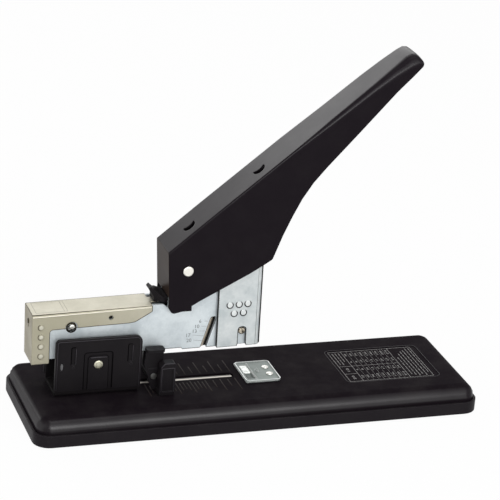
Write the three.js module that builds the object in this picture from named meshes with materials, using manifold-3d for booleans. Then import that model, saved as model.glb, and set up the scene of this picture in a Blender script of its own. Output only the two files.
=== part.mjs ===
// Heavy-duty desk stapler: a weighted base with an anvil, a hinged stapling head with a long
// handle, a sliding magazine cover and a paper depth guide. Millimetres, +Z up, the head runs
// along X with the stapling end at +X. The origin is the middle of the base on the table.
import * as THREE from "three";
import { mergeVertices } from "three/addons/utils/BufferGeometryUtils.js";
import Module from "manifold-3d";

// ---------------------------------------------------------------- driving dimensions

// Fits
const SEAT = 0.15; // between rigid pieces that are fastened together
const CLEAR = 0.3; // between pieces that run on each other

// Base
const BASE_LENGTH = 295;
const BASE_WIDTH = 93;
const BASE_CORNER = 10.5;
const BASE_TOP = 18.3;
const FOOT_PROUD = 0.8;
const FOOT_RADIUS = 7;
const FOOT_HEIGHT = 1.8;
const FOOT_INSET_X = 22;
const FOOT_INSET_Y = 15;
const TRAY_TOP = 8.6;
const TRAY_WALL = 1.6;
const TRAY_FLOOR = 1.8;
const SHELL_SHEET = 1.2;
const SHELL_EDGE_RADIUS = 8;
const SCREW_RADIUS = 1.6;
const SCREW_HEAD_RADIUS = 3;
const SCREW_HEAD_HEIGHT = 1.6;
const SCREW_POST_RADIUS = 4;
const SCREW_INSET_X = 45;
const SCREW_INSET_Y = 16;
const PANEL_LENGTH = 65;
const PANEL_WIDTH = 48;
const PANEL_CORNER = 4;
const PANEL_DEPTH = 0.4;
const PANEL_END = 19.5; // from the right end of the base to the panel

// Guide slot and rail
const SLOT_LENGTH = 63.7;
const SLOT_TO_ANVIL = 9.5; // right end of the slot to the middle of the anvil block
const SLOT_WIDTH = 6.4;
const RAIL_WIDTH = 3;
const RAIL_DROP = 0.7; // top of the rail below the base top
const RAIL_HEIGHT = 4;
const RAIL_TAB_LEFT = 6;
const RAIL_TAB_RIGHT = 4;
const RAIL_TAB_SHEET = 1.5;
const RAIL_TAB_REACH = 3; // each side of the slot

// Anvil
const ANVIL_REACH = 103.6; // hinge pin to the middle of the anvil block
const ANVIL_REAR = 4.8; // middle of the block to the left edge of the plate
const ANVIL_FORE = 19; // middle of the block to the right edge of the plate
const ANVIL_WIDTH = 28.4;
const ANVIL_SHEET = 0.9;
const ANVIL_CORNER = 3.5;
const ANVIL_SINK = 0.1; // top of the block below the plate
const CLINCH_LENGTH = 4.6;
const CLINCH_WIDTH = 19;
const CLINCH_DEPTH = 0.6;
const CLINCH_FLANGE = 2;
const GROOVE_LENGTH = 3.6;
const ANVIL_LIP = 0.6;
const MOON_RADIUS = 2.2;
const RIVET_RADIUS = 2.4;
const RIVET_SPACING = 9.6;
const RIVET_REACH = 13.8; // middle of the block to the rivets
const RIVET_SHANK = 1.5;
const RIVET_TAIL = 1;

// Hinge bracket and its covers
const PIN_INSET = 45.8; // left end of the base to the hinge pin
const PIN_Z = 39.4;
const PIN_RADIUS = 2.4;
const PIN_HEAD_RADIUS = 2.9;
const PIN_HEAD_HEIGHT = 0.8;
const BRACKET_REAR = 26.9; // hinge pin to the left edge of the bracket
const BRACKET_FORE = 27.1; // hinge pin to the right edge of the bracket
const BRACKET_RIVET_INSET = 8.5;
const BRACKET_RIVET_RADIUS = 3.2;
const BRACKET_FLOOR = 2;
const BRACKET_INNER = 10.6; // half of the space between the two ears
const BRACKET_SHEET = 1.8;
const BRACKET_TOP = 55.8;
const LIFT_U = 10.7;
const LIFT_RADIUS = 4.4;
const LIFT_WIRE = 0.6; // radius
const LIFT_TURNS = 6;
const COVER_THICKNESS = 2.3;
const COVER_BOTTOM = 22.6;
const COVER_TOP = 57.5;
const COVER_LIP = 0.6; // past each edge of the bracket
const COVER_CORNER = 4;
const COVER_RIM = 1.2;
const COVER_RELIEF = 0.5;
const COVER_GROOVE = 0.7;
const COVER_PANEL = 6.3; // half-width of the panel round the pin

// Head frame
const HEAD_TILT = 1.2; // degrees, the stapling end is raised at rest
const FRAME_HALF = 8.8;
const FRAME_SHEET = 1.5;
const FRAME_LEFT = -39;
const FRAME_BOTTOM = 4;
const FRAME_FLOOR_END = 50;
const FRAME_EAR_RADIUS = 7;
const THROAT_BOTTOM = 2.9;
const THROAT_START = 56;
const STUD_RADIUS = 1.5;
const FRAME_PILLAR = 46; // height of the walls inside the front housing
const FRAME_STEP = 1.1; // rise of the walls where the magazine cover ends
const BRIDGE_LEFT = 88;
const BRIDGE_W = 24;
const BRIDGE_SHEET = 1.5;
const GAUGE_LEFT = 67.3; // the slanting slot at the bottom edge
const GAUGE_RIGHT = 71.1;
const GAUGE_LEAN = 6.6; // how far its top end leans to the right
const GAUGE_TOP = 23.5;
const GAUGE_CORNER = 1.8;

// Front housing
const HOUSING_LEFT = 77.8;
const HOUSING_FRONT = 106.1;
const HOUSING_HALF = 11.15;
const HOUSING_FACE = 1.2; // sheet in front of the blade
const HOUSING_CORNER = 2.6;
const HOUSING_TOP_LEFT = 50;
const HOUSING_TOP_RIGHT = 78;
const HOUSING_BOTTOM = 2.7;
const HOUSING_SLOT_U = 94.2;
const HOUSING_SLOT_HALF = 2.7;
const HOUSING_SLOT_TOP = 12.8;
const MARK_RADIUS = 2.1;
const MARK_PROUD = 0.45; // at the foot of a scale; its top runs into the sheet
const MARKS = [
  [85.3, 31.7],
  [91.2, 31.7],
  [97.1, 31.8],
  [88.3, 25.8],
  [94.3, 25.9],
]; // middles of the pressed scales in each side of the housing

// Staples, rail and pusher
const STAPLE_HALF = 6.5;
const STAPLE_WIRE = 0.9;
const STAPLE_LEG = 17;
const STAPLE_BOTTOM = 5.8;
const STRIP_LENGTH = 50;
const CORE_HALF = 5.2;
const CORE_SHEET = 1;
const CORE_LEFT = -28;
const BLADE_THICKNESS = 1;
const BLADE_HALF = 6.3;
const PUSHER_LENGTH = 10;
const ROD_RADIUS = 1.5;
const ROD_W = 27.2;
const ROD_END = 80;
const SLEEVE_RADIUS = 4.3;
const SLEEVE_BORE = 3.3;
const PUSHER_SHEET = 0.9;
const PUSHER_CROWN = 1.4;
const PUSHER_WIRE = 0.45; // radius
const PUSHER_TURNS = 13;

// Magazine cover
const MAGAZINE_LEFT = -41.5;
const MAGAZINE_RIGHT = 34.9;
const MAGAZINE_TOP = 35.2;
const MAGAZINE_SHEET = 1;
const MAGAZINE_SKIRT = 24.3;
const MAGAZINE_LEG = 11.1;
const MAGAZINE_BOTTOM = 1.7;
const CATCH_U = -16.5;
const CATCH_W = 24.6;
const CATCH_HOLE_RADIUS = 3.3;
const CATCH_SHEET = 0.4;
const CATCH_BOSS_RADIUS = 2.4;
const DIMPLE_RADIUS = 1.9;
const DIMPLE_PROUD = 0.35;
const DIMPLE_INSET = 5.8;
const DIMPLES = [26.5, 20, 13.6, 7]; // heights of the press marks at the left end
const PEEP_RADIUS = 1.5; // the small hole near the right end
const PEEP_U = 8.4;
const PEEP_W = 29.2;

// Handle, drive lever and driver
const PIVOT_U = 56;
const PIVOT_W = 58;
const PIVOT_RADIUS = 3;
const PIVOT_HEAD_RADIUS = 3.4;
const PIVOT_HEAD_HEIGHT = 0.7;
const HANDLE_HALF = 13.5;
const HANDLE_SHEET = 1.5;
const HANDLE_SLOPE = 38.7; // degrees
const HANDLE_DEPTH = 110; // more than the height of the grip at any place
const WEB_BOTTOM = 41;
const LANCE_RADIUS = 4.3;
const TONGUE_RADIUS = 5.4;
const TONGUE_REACH = 5.6; // between the middles of the opening's two arcs
const LANCE_OFFSET = -2.1; // from the middle of the handle
const LANCES = [98.2, 153.9]; // middles of the crescent openings, along the slope
const BUSH_RADIUS = 6;
const TIE_U = 78;
const TIE_W = 84;
const TIE_RADIUS = 2;
const DRIVE_RADIUS = 43.2; // pivot to the nose of the drive lever
const DRIVE_ANGLE = 13.6; // degrees, nose above the pivot at rest
const DRIVE_NOSE = 2.8;
const DRIVE_HALF = 4;
const DRIVE_BOSS = 9;
const TIE_BOSS = 5.5;
const POCKET_FLARE = 3.5;
const BLOCK_LEFT = 92;
const BLOCK_BOTTOM = 60;
const BLOCK_TOP = 76.4;
const BLADE_RIVET = 1;
const BLADE_RIVET_DROP = 2;
const SPRING_RADIUS = 4.2;
const SPRING_WIRE = 0.6; // radius
const SPRING_TURNS = 7;

// Release latch
const LATCH_U = 50;
const LATCH_W = 39;
const LATCH_PIN_RADIUS = 1.5;
const LATCH_HALF = 6.6;
const LATCH_WING = 8.6; // half-width of the finger part
const LATCH_BOSS = 3.5;
const TOOTH_LEFT = 37;
const TOOTH_RIGHT = 38.6;
const CATCH_TAB_END = 40.4;
const LEG_REACH = 4.6;
const LEG_RISE = 0.4;

// Paper guide
const GUIDE_START = 7.7; // left end of the slot to the guide
const GUIDE_LENGTH = 10.1;
const GUIDE_HALF = 22.5;
const GUIDE_ARM_INNER = 16.2;
const GUIDE_SADDLE = 2.8;
const GUIDE_ARM_TOP = 40.4;
const HOOK_BOTTOM = 13.6;
const LUG_INNER = 11.5;
const TAB_REACH = 18.4;
const LOCK_PIN_REACH = 2; // left edge of the guide to the lever's pin
const LOCK_PIN_Z = 29;
const LOCK_PIN_RADIUS = 1.5;
const LOCK_REAR = 6.4; // lever's pin to the left edge of the thumb tab
const LOCK_FORE = 5.8; // lever's pin to its right edge
const LOCK_TOP = 48.4;
const LOCK_INNER = 13.3;
const LOCK_THICKNESS = 1.6;

// ---------------------------------------------------------------- derived dimensions

const rad = THREE.MathUtils.degToRad;
const BEYOND = 100; // how far a cutting shape runs past the piece it trims
const TRAY_BOTTOM = FOOT_PROUD;
const TRAY_INNER_FLOOR = TRAY_BOTTOM + TRAY_FLOOR;
const SHELL_INSET = TRAY_WALL + CLEAR;
const SHELL_BOTTOM = TRAY_INNER_FLOOR + CLEAR;
const SHELL_UNDERSIDE = BASE_TOP - SHELL_SHEET;
const PIN_X = PIN_INSET - BASE_LENGTH / 2;
const BRACKET_LEFT = PIN_X - BRACKET_REAR;
const BRACKET_RIGHT = PIN_X + BRACKET_FORE;
const CLINCH_X = PIN_X + ANVIL_REACH;
const ANVIL_LEFT = CLINCH_X - ANVIL_REAR;
const ANVIL_RIGHT = CLINCH_X + ANVIL_FORE;
const RIVET_X = CLINCH_X + RIVET_REACH;
const SLOT_RIGHT = CLINCH_X - SLOT_TO_ANVIL;
const SLOT_LEFT = SLOT_RIGHT - SLOT_LENGTH;
const GUIDE_LEFT = SLOT_LEFT + GUIDE_START;
const GUIDE_RIGHT = GUIDE_LEFT + GUIDE_LENGTH;
const LOCK_PIN_X = GUIDE_LEFT - LOCK_PIN_REACH;
const LOCK_LEFT = LOCK_PIN_X - LOCK_REAR;
const LOCK_RIGHT = LOCK_PIN_X + LOCK_FORE;
const FRAME_INNER = FRAME_HALF - FRAME_SHEET;
const MAGAZINE_HALF = FRAME_HALF + CLEAR + MAGAZINE_SHEET;
const MAGAZINE_INNER_TOP = MAGAZINE_TOP - MAGAZINE_SHEET;
const FRAME_TOP = MAGAZINE_INNER_TOP - CLEAR;
const STAPLE_TOP = STAPLE_BOTTOM + STAPLE_LEG;
const CORE_TOP = STAPLE_TOP - STAPLE_WIRE - CLEAR;
const HOUSING_SHEET = HOUSING_HALF - FRAME_HALF - SEAT;
const BLADE_FRONT = HOUSING_FRONT - HOUSING_FACE - CLEAR;
const BLADE_BACK = BLADE_FRONT - BLADE_THICKNESS;
const BLADE_BOTTOM = STAPLE_TOP + CLEAR;
const STRIP_FRONT = BLADE_BACK - CLEAR;
const STRIP_BACK = STRIP_FRONT - STRIP_LENGTH;
const PUSHER_RIGHT = STRIP_BACK - CLEAR;
const CORE_BOTTOM = FRAME_BOTTOM + FRAME_SHEET + SEAT;
const TOOTH_BOTTOM = MAGAZINE_TOP + CLEAR;
const FRAME_END = BLADE_FRONT;
const SPRING_U = (BLOCK_LEFT + BLADE_BACK) / 2;
const RIVET_W = BLOCK_TOP - BLADE_RIVET_DROP;
const SIDES = [
  [-1, "near"],
  [1, "far"],
];
const COVER_OUTER = BRACKET_INNER + BRACKET_SHEET + SEAT + COVER_THICKNESS;
const NOSE_U = PIVOT_U + DRIVE_RADIUS * Math.cos(rad(DRIVE_ANGLE));
const NOSE_W = PIVOT_W + DRIVE_RADIUS * Math.sin(rad(DRIVE_ANGLE));

// ---------------------------------------------------------------- solid modelling helpers

const wasm = await Module();
wasm.setup();

// A three.js geometry as a manifold-3d solid, with its shared vertices merged.
function solid(geometry) {
  const bare = geometry.index ? geometry.toNonIndexed() : geometry.clone();
  bare.deleteAttribute("normal");
  bare.deleteAttribute("uv");
  const merged = mergeVertices(bare, 1e-4);
  const mesh = new wasm.Mesh({
    numProp: 3,
    vertProperties: merged.attributes.position.array,
    triVerts: new Uint32Array(merged.index.array),
  });
  return new wasm.Manifold(mesh);
}

function join(first, ...others) {
  return others.reduce((sum, other) => sum.add(other), first);
}

function cut(body, ...tools) {
  return tools.reduce((rest, tool) => rest.subtract(tool), body);
}

// A closed outline through corners [x, y, radius]; a corner with a radius is rounded by an arc.
function outline(corners) {
  const shape = new THREE.Shape();
  corners.forEach(([x, y, radius = 0], index) => {
    const here = new THREE.Vector2(x, y);
    const [bx, by] = corners.at(index - 1);
    const [ax, ay] = corners[(index + 1) % corners.length];
    const toBefore = new THREE.Vector2(bx, by).sub(here).normalize();
    const toAfter = new THREE.Vector2(ax, ay).sub(here).normalize();
    const half = Math.acos(THREE.MathUtils.clamp(toBefore.dot(toAfter), -1, 1)) / 2;
    const start = here.clone().addScaledVector(toBefore, radius / Math.tan(half));
    if (index === 0) shape.moveTo(start.x, start.y);
    else shape.lineTo(start.x, start.y);
    if (radius === 0) return;
    const end = here.clone().addScaledVector(toAfter, radius / Math.tan(half));
    const bisector = toBefore.clone().add(toAfter).normalize();
    const centre = here.clone().addScaledVector(bisector, radius / Math.sin(half));
    const from = Math.atan2(start.y - centre.y, start.x - centre.x);
    const to = Math.atan2(end.y - centre.y, end.x - centre.x);
    const clockwise = toBefore.cross(toAfter) > 0;
    shape.absarc(centre.x, centre.y, radius, from, to, clockwise);
  });
  shape.closePath();
  return shape;
}

function rectangle(x0, x1, y0, y1, radius = 0) {
  return outline([
    [x0, y0, radius],
    [x1, y0, radius],
    [x1, y1, radius],
    [x0, y1, radius],
  ]);
}

// Extrusions of a flat shape along each axis. across: (x, z) along Y; upright: (x, y) along Z;
// lengthwise: (y, z) along X.
function extrude(shape, depth, curveSegments) {
  return new THREE.ExtrudeGeometry(shape, { depth, bevelEnabled: false, curveSegments });
}

function across(shape, y0, y1, curveSegments = 2) {
  const geometry = extrude(shape, y1 - y0, curveSegments);
  return solid(geometry.rotateX(Math.PI / 2).translate(0, y1, 0));
}

function upright(shape, z0, z1, curveSegments = 2) {
  return solid(extrude(shape, z1 - z0, curveSegments).translate(0, 0, z0));
}

function lengthwise(shape, x0, x1, curveSegments = 2) {
  const turn = new THREE.Matrix4().makeBasis(
    new THREE.Vector3(0, 1, 0),
    new THREE.Vector3(0, 0, 1),
    new THREE.Vector3(1, 0, 0),
  );
  return solid(extrude(shape, x1 - x0, curveSegments).applyMatrix4(turn).translate(x0, 0, 0));
}

function block(x0, x1, y0, y1, z0, z1) {
  const geometry = new THREE.BoxGeometry(x1 - x0, y1 - y0, z1 - z0);
  return solid(geometry.translate((x0 + x1) / 2, (y0 + y1) / 2, (z0 + z1) / 2));
}

// Round bars along each axis.
function barY(radius, y0, y1, x, z, sides = 16) {
  const geometry = new THREE.CylinderGeometry(radius, radius, y1 - y0, sides);
  return solid(geometry.translate(x, (y0 + y1) / 2, z));
}

function barZ(radius, z0, z1, x, y, sides = 16) {
  const geometry = new THREE.CylinderGeometry(radius, radius, z1 - z0, sides).rotateX(Math.PI / 2);
  return solid(geometry.translate(x, y, (z0 + z1) / 2));
}

function barX(radius, x0, x1, y, z, sides = 16) {
  const geometry = new THREE.CylinderGeometry(radius, radius, x1 - x0, sides).rotateZ(Math.PI / 2);
  return solid(geometry.translate((x0 + x1) / 2, y, z));
}

// A turned piece: profile points [radius, height] round Z, then moved.
function turned(profile, sides = 16) {
  const points = profile.map(([radius, height]) => new THREE.Vector2(radius, height));
  return new THREE.LatheGeometry(points, sides).rotateX(Math.PI / 2);
}

// A solid through rings of equal point counts, closed by flat ends.
function loft(rings) {
  const count = rings[0].length;
  const positions = [];
  const push = (...points) => points.forEach((p) => positions.push(p.x, p.y, p.z));
  for (let k = 0; k + 1 < rings.length; k += 1) {
    for (let i = 0; i < count; i += 1) {
      const j = (i + 1) % count;
      push(rings[k][i], rings[k][j], rings[k + 1][j]);
      push(rings[k][i], rings[k + 1][j], rings[k + 1][i]);
    }
  }
  const first = rings[0];
  const last = rings.at(-1);
  for (let i = 1; i + 1 < count; i += 1) {
    push(first[0], first[i + 1], first[i]);
    push(last[0], last[i], last[i + 1]);
  }
  const geometry = new THREE.BufferGeometry();
  geometry.setAttribute("position", new THREE.Float32BufferAttribute(positions, 3));
  return solid(geometry);
}

// A wire bent along a path, as a round extrusion.
function wire(curve, radius, steps, sides = 6) {
  const section = new THREE.Shape();
  for (let i = 0; i < sides; i += 1) {
    const angle = (i / sides) * Math.PI * 2;
    const x = Math.cos(angle) * radius;
    const y = Math.sin(angle) * radius;
    if (i === 0) section.moveTo(x, y);
    else section.lineTo(x, y);
  }
  section.closePath();
  return solid(new THREE.ExtrudeGeometry(section, { steps, extrudePath: curve, bevelEnabled: false }));
}

// A coil spring round an axis, from one end to the other.
class Coil extends THREE.Curve {
  constructor(start, end, radius, turns) {
    super();
    this.start = start;
    this.axis = end.clone().sub(start);
    const along = this.axis.clone().normalize();
    const side = Math.abs(along.z) > 0.9 ? new THREE.Vector3(1, 0, 0) : new THREE.Vector3(0, 0, 1);
    this.first = side.multiplyScalar(radius);
    this.second = along.cross(this.first);
    this.turns = turns;
  }

  getPoint(t, target = new THREE.Vector3()) {
    const angle = t * this.turns * Math.PI * 2;
    target.copy(this.start).addScaledVector(this.axis, t);
    target.addScaledVector(this.first, Math.cos(angle));
    return target.addScaledVector(this.second, Math.sin(angle));
  }
}

// ---------------------------------------------------------------- scene graph

const stapler = new THREE.Group();
const head = new THREE.Group();
head.position.set(PIN_X, 0, PIN_Z);
head.rotation.y = -rad(HEAD_TILT);
stapler.add(head);

const finishes = {
  blackPlastic: { color: 0x242024, roughness: 0.45, metalness: 0 },
  blackPaint: { color: 0x2b272a, roughness: 0.35, metalness: 0.1 },
  rubber: { color: 0x1a1a1a, roughness: 0.9, metalness: 0 },
  zinc: { color: 0xcdd4d8, roughness: 0.35, metalness: 0.9 },
  nickel: { color: 0xcfccb4, roughness: 0.35, metalness: 0.8 },
  steel: { color: 0xb9bdc0, roughness: 0.3, metalness: 1 },
  darkSteel: { color: 0x5c5e62, roughness: 0.45, metalness: 0.9 },
  bright: { color: 0xf0ede2, roughness: 0.25, metalness: 0.9 },
};

// Adds a finished solid to a group as a named mesh.
function piece(group, name, body, finish) {
  const made = body.getMesh();
  const geometry = new THREE.BufferGeometry();
  const positions = new Float32Array(made.numVert * 3);
  for (let i = 0; i < made.numVert; i += 1) {
    positions.set(made.vertProperties.subarray(i * made.numProp, i * made.numProp + 3), i * 3);
  }
  geometry.setAttribute("position", new THREE.BufferAttribute(positions, 3));
  geometry.setIndex(new THREE.BufferAttribute(made.triVerts, 1));
  geometry.computeVertexNormals();
  const mesh = new THREE.Mesh(geometry, new THREE.MeshStandardMaterial(finishes[finish]));
  mesh.name = name;
  group.add(mesh);
}

// ---------------------------------------------------------------- base

// The four copies of a fitting that sit near the corners of the base.
const CORNERS = [
  [-1, -1, "left_near"],
  [1, -1, "right_near"],
  [-1, 1, "left_far"],
  [1, 1, "right_far"],
];

function baseOutline(inset) {
  const x = BASE_LENGTH / 2 - inset;
  const y = BASE_WIDTH / 2 - inset;
  return rectangle(-x, x, -y, y, BASE_CORNER - inset);
}

function footPlace([sx, sy]) {
  return [sx * (BASE_LENGTH / 2 - FOOT_INSET_X), sy * (BASE_WIDTH / 2 - FOOT_INSET_Y)];
}

function screwPlace([sx, sy]) {
  return [sx * (BASE_LENGTH / 2 - SCREW_INSET_X), sy * (BASE_WIDTH / 2 - SCREW_INSET_Y)];
}

const SCREW_TOP = SHELL_UNDERSIDE - 4;
const POST_BOTTOM = TRAY_INNER_FLOOR + SCREW_HEAD_HEIGHT + 1.2;

function baseTray() {
  let tray = upright(baseOutline(0), TRAY_BOTTOM, TRAY_TOP, 3);
  tray = tray.subtract(upright(baseOutline(TRAY_WALL), TRAY_INNER_FLOOR, TRAY_TOP + 1, 3));
  CORNERS.forEach((corner) => {
    const [fx, fy] = footPlace(corner);
    const [sx, sy] = screwPlace(corner);
    const recess = FOOT_HEIGHT - FOOT_PROUD;
    tray = tray.subtract(barZ(FOOT_RADIUS + CLEAR, 0, TRAY_BOTTOM + recess, fx, fy, 20));
    tray = tray.add(barZ(SCREW_POST_RADIUS, TRAY_BOTTOM, POST_BOTTOM - SEAT, sx, sy, 12));
    const headTop = TRAY_BOTTOM + SCREW_HEAD_HEIGHT + SEAT;
    tray = tray.subtract(barZ(SCREW_HEAD_RADIUS + CLEAR, 0, headTop, sx, sy, 12));
    tray = tray.subtract(barZ(SCREW_RADIUS + CLEAR, 0, POST_BOTTOM, sx, sy, 12));
  });
  return tray;
}

// One level of the pressed shell: the base outline drawn in by an amount, as a ring of points.
function shellRing(inset, z) {
  const points = baseOutline(inset).getPoints(3);
  points.pop();
  return points.map((p) => new THREE.Vector3(p.x, p.y, z));
}

// The rounded block that the shell is pressed to, drawn in all round by an offset.
function shellBlock(offset, bottom) {
  const steps = 5;
  const radius = SHELL_EDGE_RADIUS - offset;
  const rings = [shellRing(SHELL_INSET + offset, bottom)];
  for (let i = 0; i <= steps; i += 1) {
    const angle = (i / steps) * (Math.PI / 2);
    const inset = SHELL_INSET + offset + radius * (1 - Math.cos(angle));
    rings.push(shellRing(inset, BASE_TOP - offset - radius * (1 - Math.sin(angle))));
  }
  return loft(rings);
}

function slotShape(halfWidth, extra = 0) {
  return rectangle(SLOT_LEFT - extra, SLOT_RIGHT + extra, -halfWidth, halfWidth, halfWidth * 0.9);
}

function clinchShape(grow) {
  const halfLength = CLINCH_LENGTH / 2 + grow;
  const halfWidth = CLINCH_WIDTH / 2 + grow;
  return rectangle(CLINCH_X - halfLength, CLINCH_X + halfLength, -halfWidth, halfWidth);
}

const BRACKET_RIVETS = [
  [BRACKET_LEFT + BRACKET_RIVET_INSET, "rear"],
  [BRACKET_RIGHT - BRACKET_RIVET_INSET, "front"],
];

function baseShell() {
  let shell = shellBlock(0, SHELL_BOTTOM).subtract(shellBlock(SHELL_SHEET, SHELL_BOTTOM - 1));
  shell = shell.subtract(upright(slotShape(SLOT_WIDTH / 2), SHELL_UNDERSIDE - 1, BASE_TOP + 1));
  shell = shell.subtract(upright(clinchShape(CLEAR), SHELL_UNDERSIDE - 1, BASE_TOP + 1));
  const panelRight = BASE_LENGTH / 2 - PANEL_END;
  const panel = rectangle(
    panelRight - PANEL_LENGTH,
    panelRight,
    -PANEL_WIDTH / 2,
    PANEL_WIDTH / 2,
    PANEL_CORNER,
  );
  shell = shell.subtract(upright(panel, BASE_TOP - PANEL_DEPTH, BASE_TOP + 1));
  CORNERS.forEach((corner) => {
    const [x, y] = screwPlace(corner);
    shell = shell.add(barZ(SCREW_POST_RADIUS, POST_BOTTOM, SHELL_UNDERSIDE + 0.4, x, y, 12));
    shell = shell.subtract(barZ(SCREW_RADIUS + CLEAR, 0, SCREW_TOP + CLEAR, x, y, 12));
  });
  SIDES.forEach(([side]) => {
    const y = (side * RIVET_SPACING) / 2;
    shell = shell.subtract(barZ(RIVET_SHANK + CLEAR, 0, BASE_TOP + 1, RIVET_X, y, 12));
  });
  BRACKET_RIVETS.forEach(([x]) => {
    shell = shell.subtract(barZ(RIVET_SHANK + CLEAR, 0, BASE_TOP + 1, x, 0, 12));
  });
  return shell;
}

// A pan-head screw from below, head down.
function trayScrew(x, y) {
  const profile = [
    [0, 0],
    [SCREW_HEAD_RADIUS * 0.8, 0],
    [SCREW_HEAD_RADIUS, SCREW_HEAD_HEIGHT * 0.4],
    [SCREW_HEAD_RADIUS, SCREW_HEAD_HEIGHT],
    [SCREW_RADIUS, SCREW_HEAD_HEIGHT],
    [SCREW_RADIUS, SCREW_TOP - TRAY_BOTTOM - 0.6],
    [0, SCREW_TOP - TRAY_BOTTOM],
  ];
  return solid(turned(profile, 12).translate(x, y, TRAY_BOTTOM));
}

// A rivet with a low domed head above a plate and an upset tail below the shell.
function plateRivet(x, y, seat, headRadius) {
  const tail = SHELL_UNDERSIDE - SEAT - RIVET_TAIL;
  const profile = [
    [0, tail],
    [RIVET_SHANK * 1.6, tail],
    [RIVET_SHANK * 1.6, tail + RIVET_TAIL],
    [RIVET_SHANK, tail + RIVET_TAIL],
    [RIVET_SHANK, seat],
    [headRadius, seat],
    [headRadius * 0.9, seat + headRadius * 0.22],
    [headRadius * 0.5, seat + headRadius * 0.38],
    [0, seat + headRadius * 0.42],
  ];
  return solid(turned(profile, 14).translate(x, y, 0));
}

function rubberFoot(x, y) {
  const profile = [
    [0, 0],
    [FOOT_RADIUS - 0.6, 0],
    [FOOT_RADIUS, 0.6],
    [FOOT_RADIUS, FOOT_HEIGHT - SEAT],
    [0, FOOT_HEIGHT - SEAT],
  ];
  return solid(turned(profile, 20).translate(x, y, 0));
}

// The steel strip seen in the slot, with a flat tab at each end under the shell.
function guideRail() {
  const top = BASE_TOP - RAIL_DROP;
  const tabTop = SHELL_UNDERSIDE - SEAT;
  const half = RAIL_WIDTH / 2;
  const reach = SLOT_WIDTH / 2 + RAIL_TAB_REACH;
  const bar = block(SLOT_LEFT + 1, SLOT_RIGHT - 1, -half, half, top - RAIL_HEIGHT, top);
  const tabs = [
    block(SLOT_LEFT - RAIL_TAB_LEFT, SLOT_LEFT + 1.2, -reach, reach, tabTop - RAIL_TAB_SHEET, tabTop),
    block(SLOT_RIGHT - 1.2, SLOT_RIGHT + RAIL_TAB_RIGHT, -reach, reach, tabTop - RAIL_TAB_SHEET, tabTop),
  ];
  return join(bar, ...tabs);
}

const ANVIL_SEAT = BASE_TOP + SEAT;
const ANVIL_TOP = ANVIL_SEAT + ANVIL_SHEET;

// The nickel-plated plate round the anvil block, with a raised lip and a pressed half-moon.
function anvilPlate() {
  const half = ANVIL_WIDTH / 2;
  const shape = outline([
    [ANVIL_LEFT, -half, 1],
    [ANVIL_RIGHT, -half, ANVIL_CORNER],
    [ANVIL_RIGHT, half, ANVIL_CORNER],
    [ANVIL_LEFT, half, 1],
  ]);
  const lipLeft = CLINCH_X + CLINCH_LENGTH / 2 + 2 * CLEAR;
  let plate = upright(shape, ANVIL_SEAT, ANVIL_TOP);
  plate = plate.add(
    block(lipLeft, lipLeft + ANVIL_LIP, -half + 2.5, half - 2.5, ANVIL_SEAT, ANVIL_TOP + ANVIL_LIP),
  );
  const moon = barZ(MOON_RADIUS, ANVIL_SEAT, ANVIL_TOP + ANVIL_LIP, lipLeft + 5, 1.5, 14);
  plate = plate.add(moon.intersect(block(lipLeft, lipLeft + 5, -9, 9, ANVIL_SEAT, ANVIL_TOP + 2)));
  plate = plate.subtract(upright(clinchShape(CLEAR), ANVIL_SEAT - 1, ANVIL_TOP + 2));
  SIDES.forEach(([side]) => {
    const y = (side * RIVET_SPACING) / 2;
    plate = plate.subtract(barZ(RIVET_SHANK + CLEAR, 0, ANVIL_TOP + 1, RIVET_X, y, 12));
  });
  return plate;
}

// The hardened block that folds the staple legs: two grooves, one for each leg.
function anvilBlock() {
  const flange = SHELL_UNDERSIDE - SEAT;
  const top = ANVIL_TOP - ANVIL_SINK;
  let body = upright(clinchShape(0), flange - 1.5, top);
  body = body.add(upright(clinchShape(CLINCH_FLANGE), flange - 1.5, flange));
  const groove = CLINCH_WIDTH / 4;
  const radius = (groove * groove + CLINCH_DEPTH * CLINCH_DEPTH) / (2 * CLINCH_DEPTH);
  const left = CLINCH_X - GROOVE_LENGTH / 2;
  [-1, 1].forEach((side) => {
    const y = side * groove * 0.92;
    const z = top + radius - CLINCH_DEPTH;
    body = body.subtract(barX(radius, left, left + GROOVE_LENGTH, y, z, 48));
  });
  return body;
}

function makeBase() {
  piece(stapler, "base_tray", baseTray(), "blackPlastic");
  piece(stapler, "base_shell", baseShell(), "blackPaint");
  CORNERS.forEach((corner) => {
    const name = corner[2];
    piece(stapler, "foot_" + name, rubberFoot(...footPlace(corner)), "rubber");
    piece(stapler, "tray_screw_" + name, trayScrew(...screwPlace(corner)), "steel");
  });
  piece(stapler, "guide_rail", guideRail(), "steel");
  piece(stapler, "anvil_plate", anvilPlate(), "zinc");
  piece(stapler, "anvil_block", anvilBlock(), "steel");
  SIDES.forEach(([side, name]) => {
    const y = (side * RIVET_SPACING) / 2;
    const rivet = plateRivet(RIVET_X, y, ANVIL_TOP + SEAT, RIVET_RADIUS);
    piece(stapler, "anvil_rivet_" + name, rivet, "bright");
  });
}

// ---------------------------------------------------------------- rear hinge

const BRACKET_SEAT = BASE_TOP + SEAT;
const EAR_OUTER = BRACKET_INNER + BRACKET_SHEET;

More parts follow.
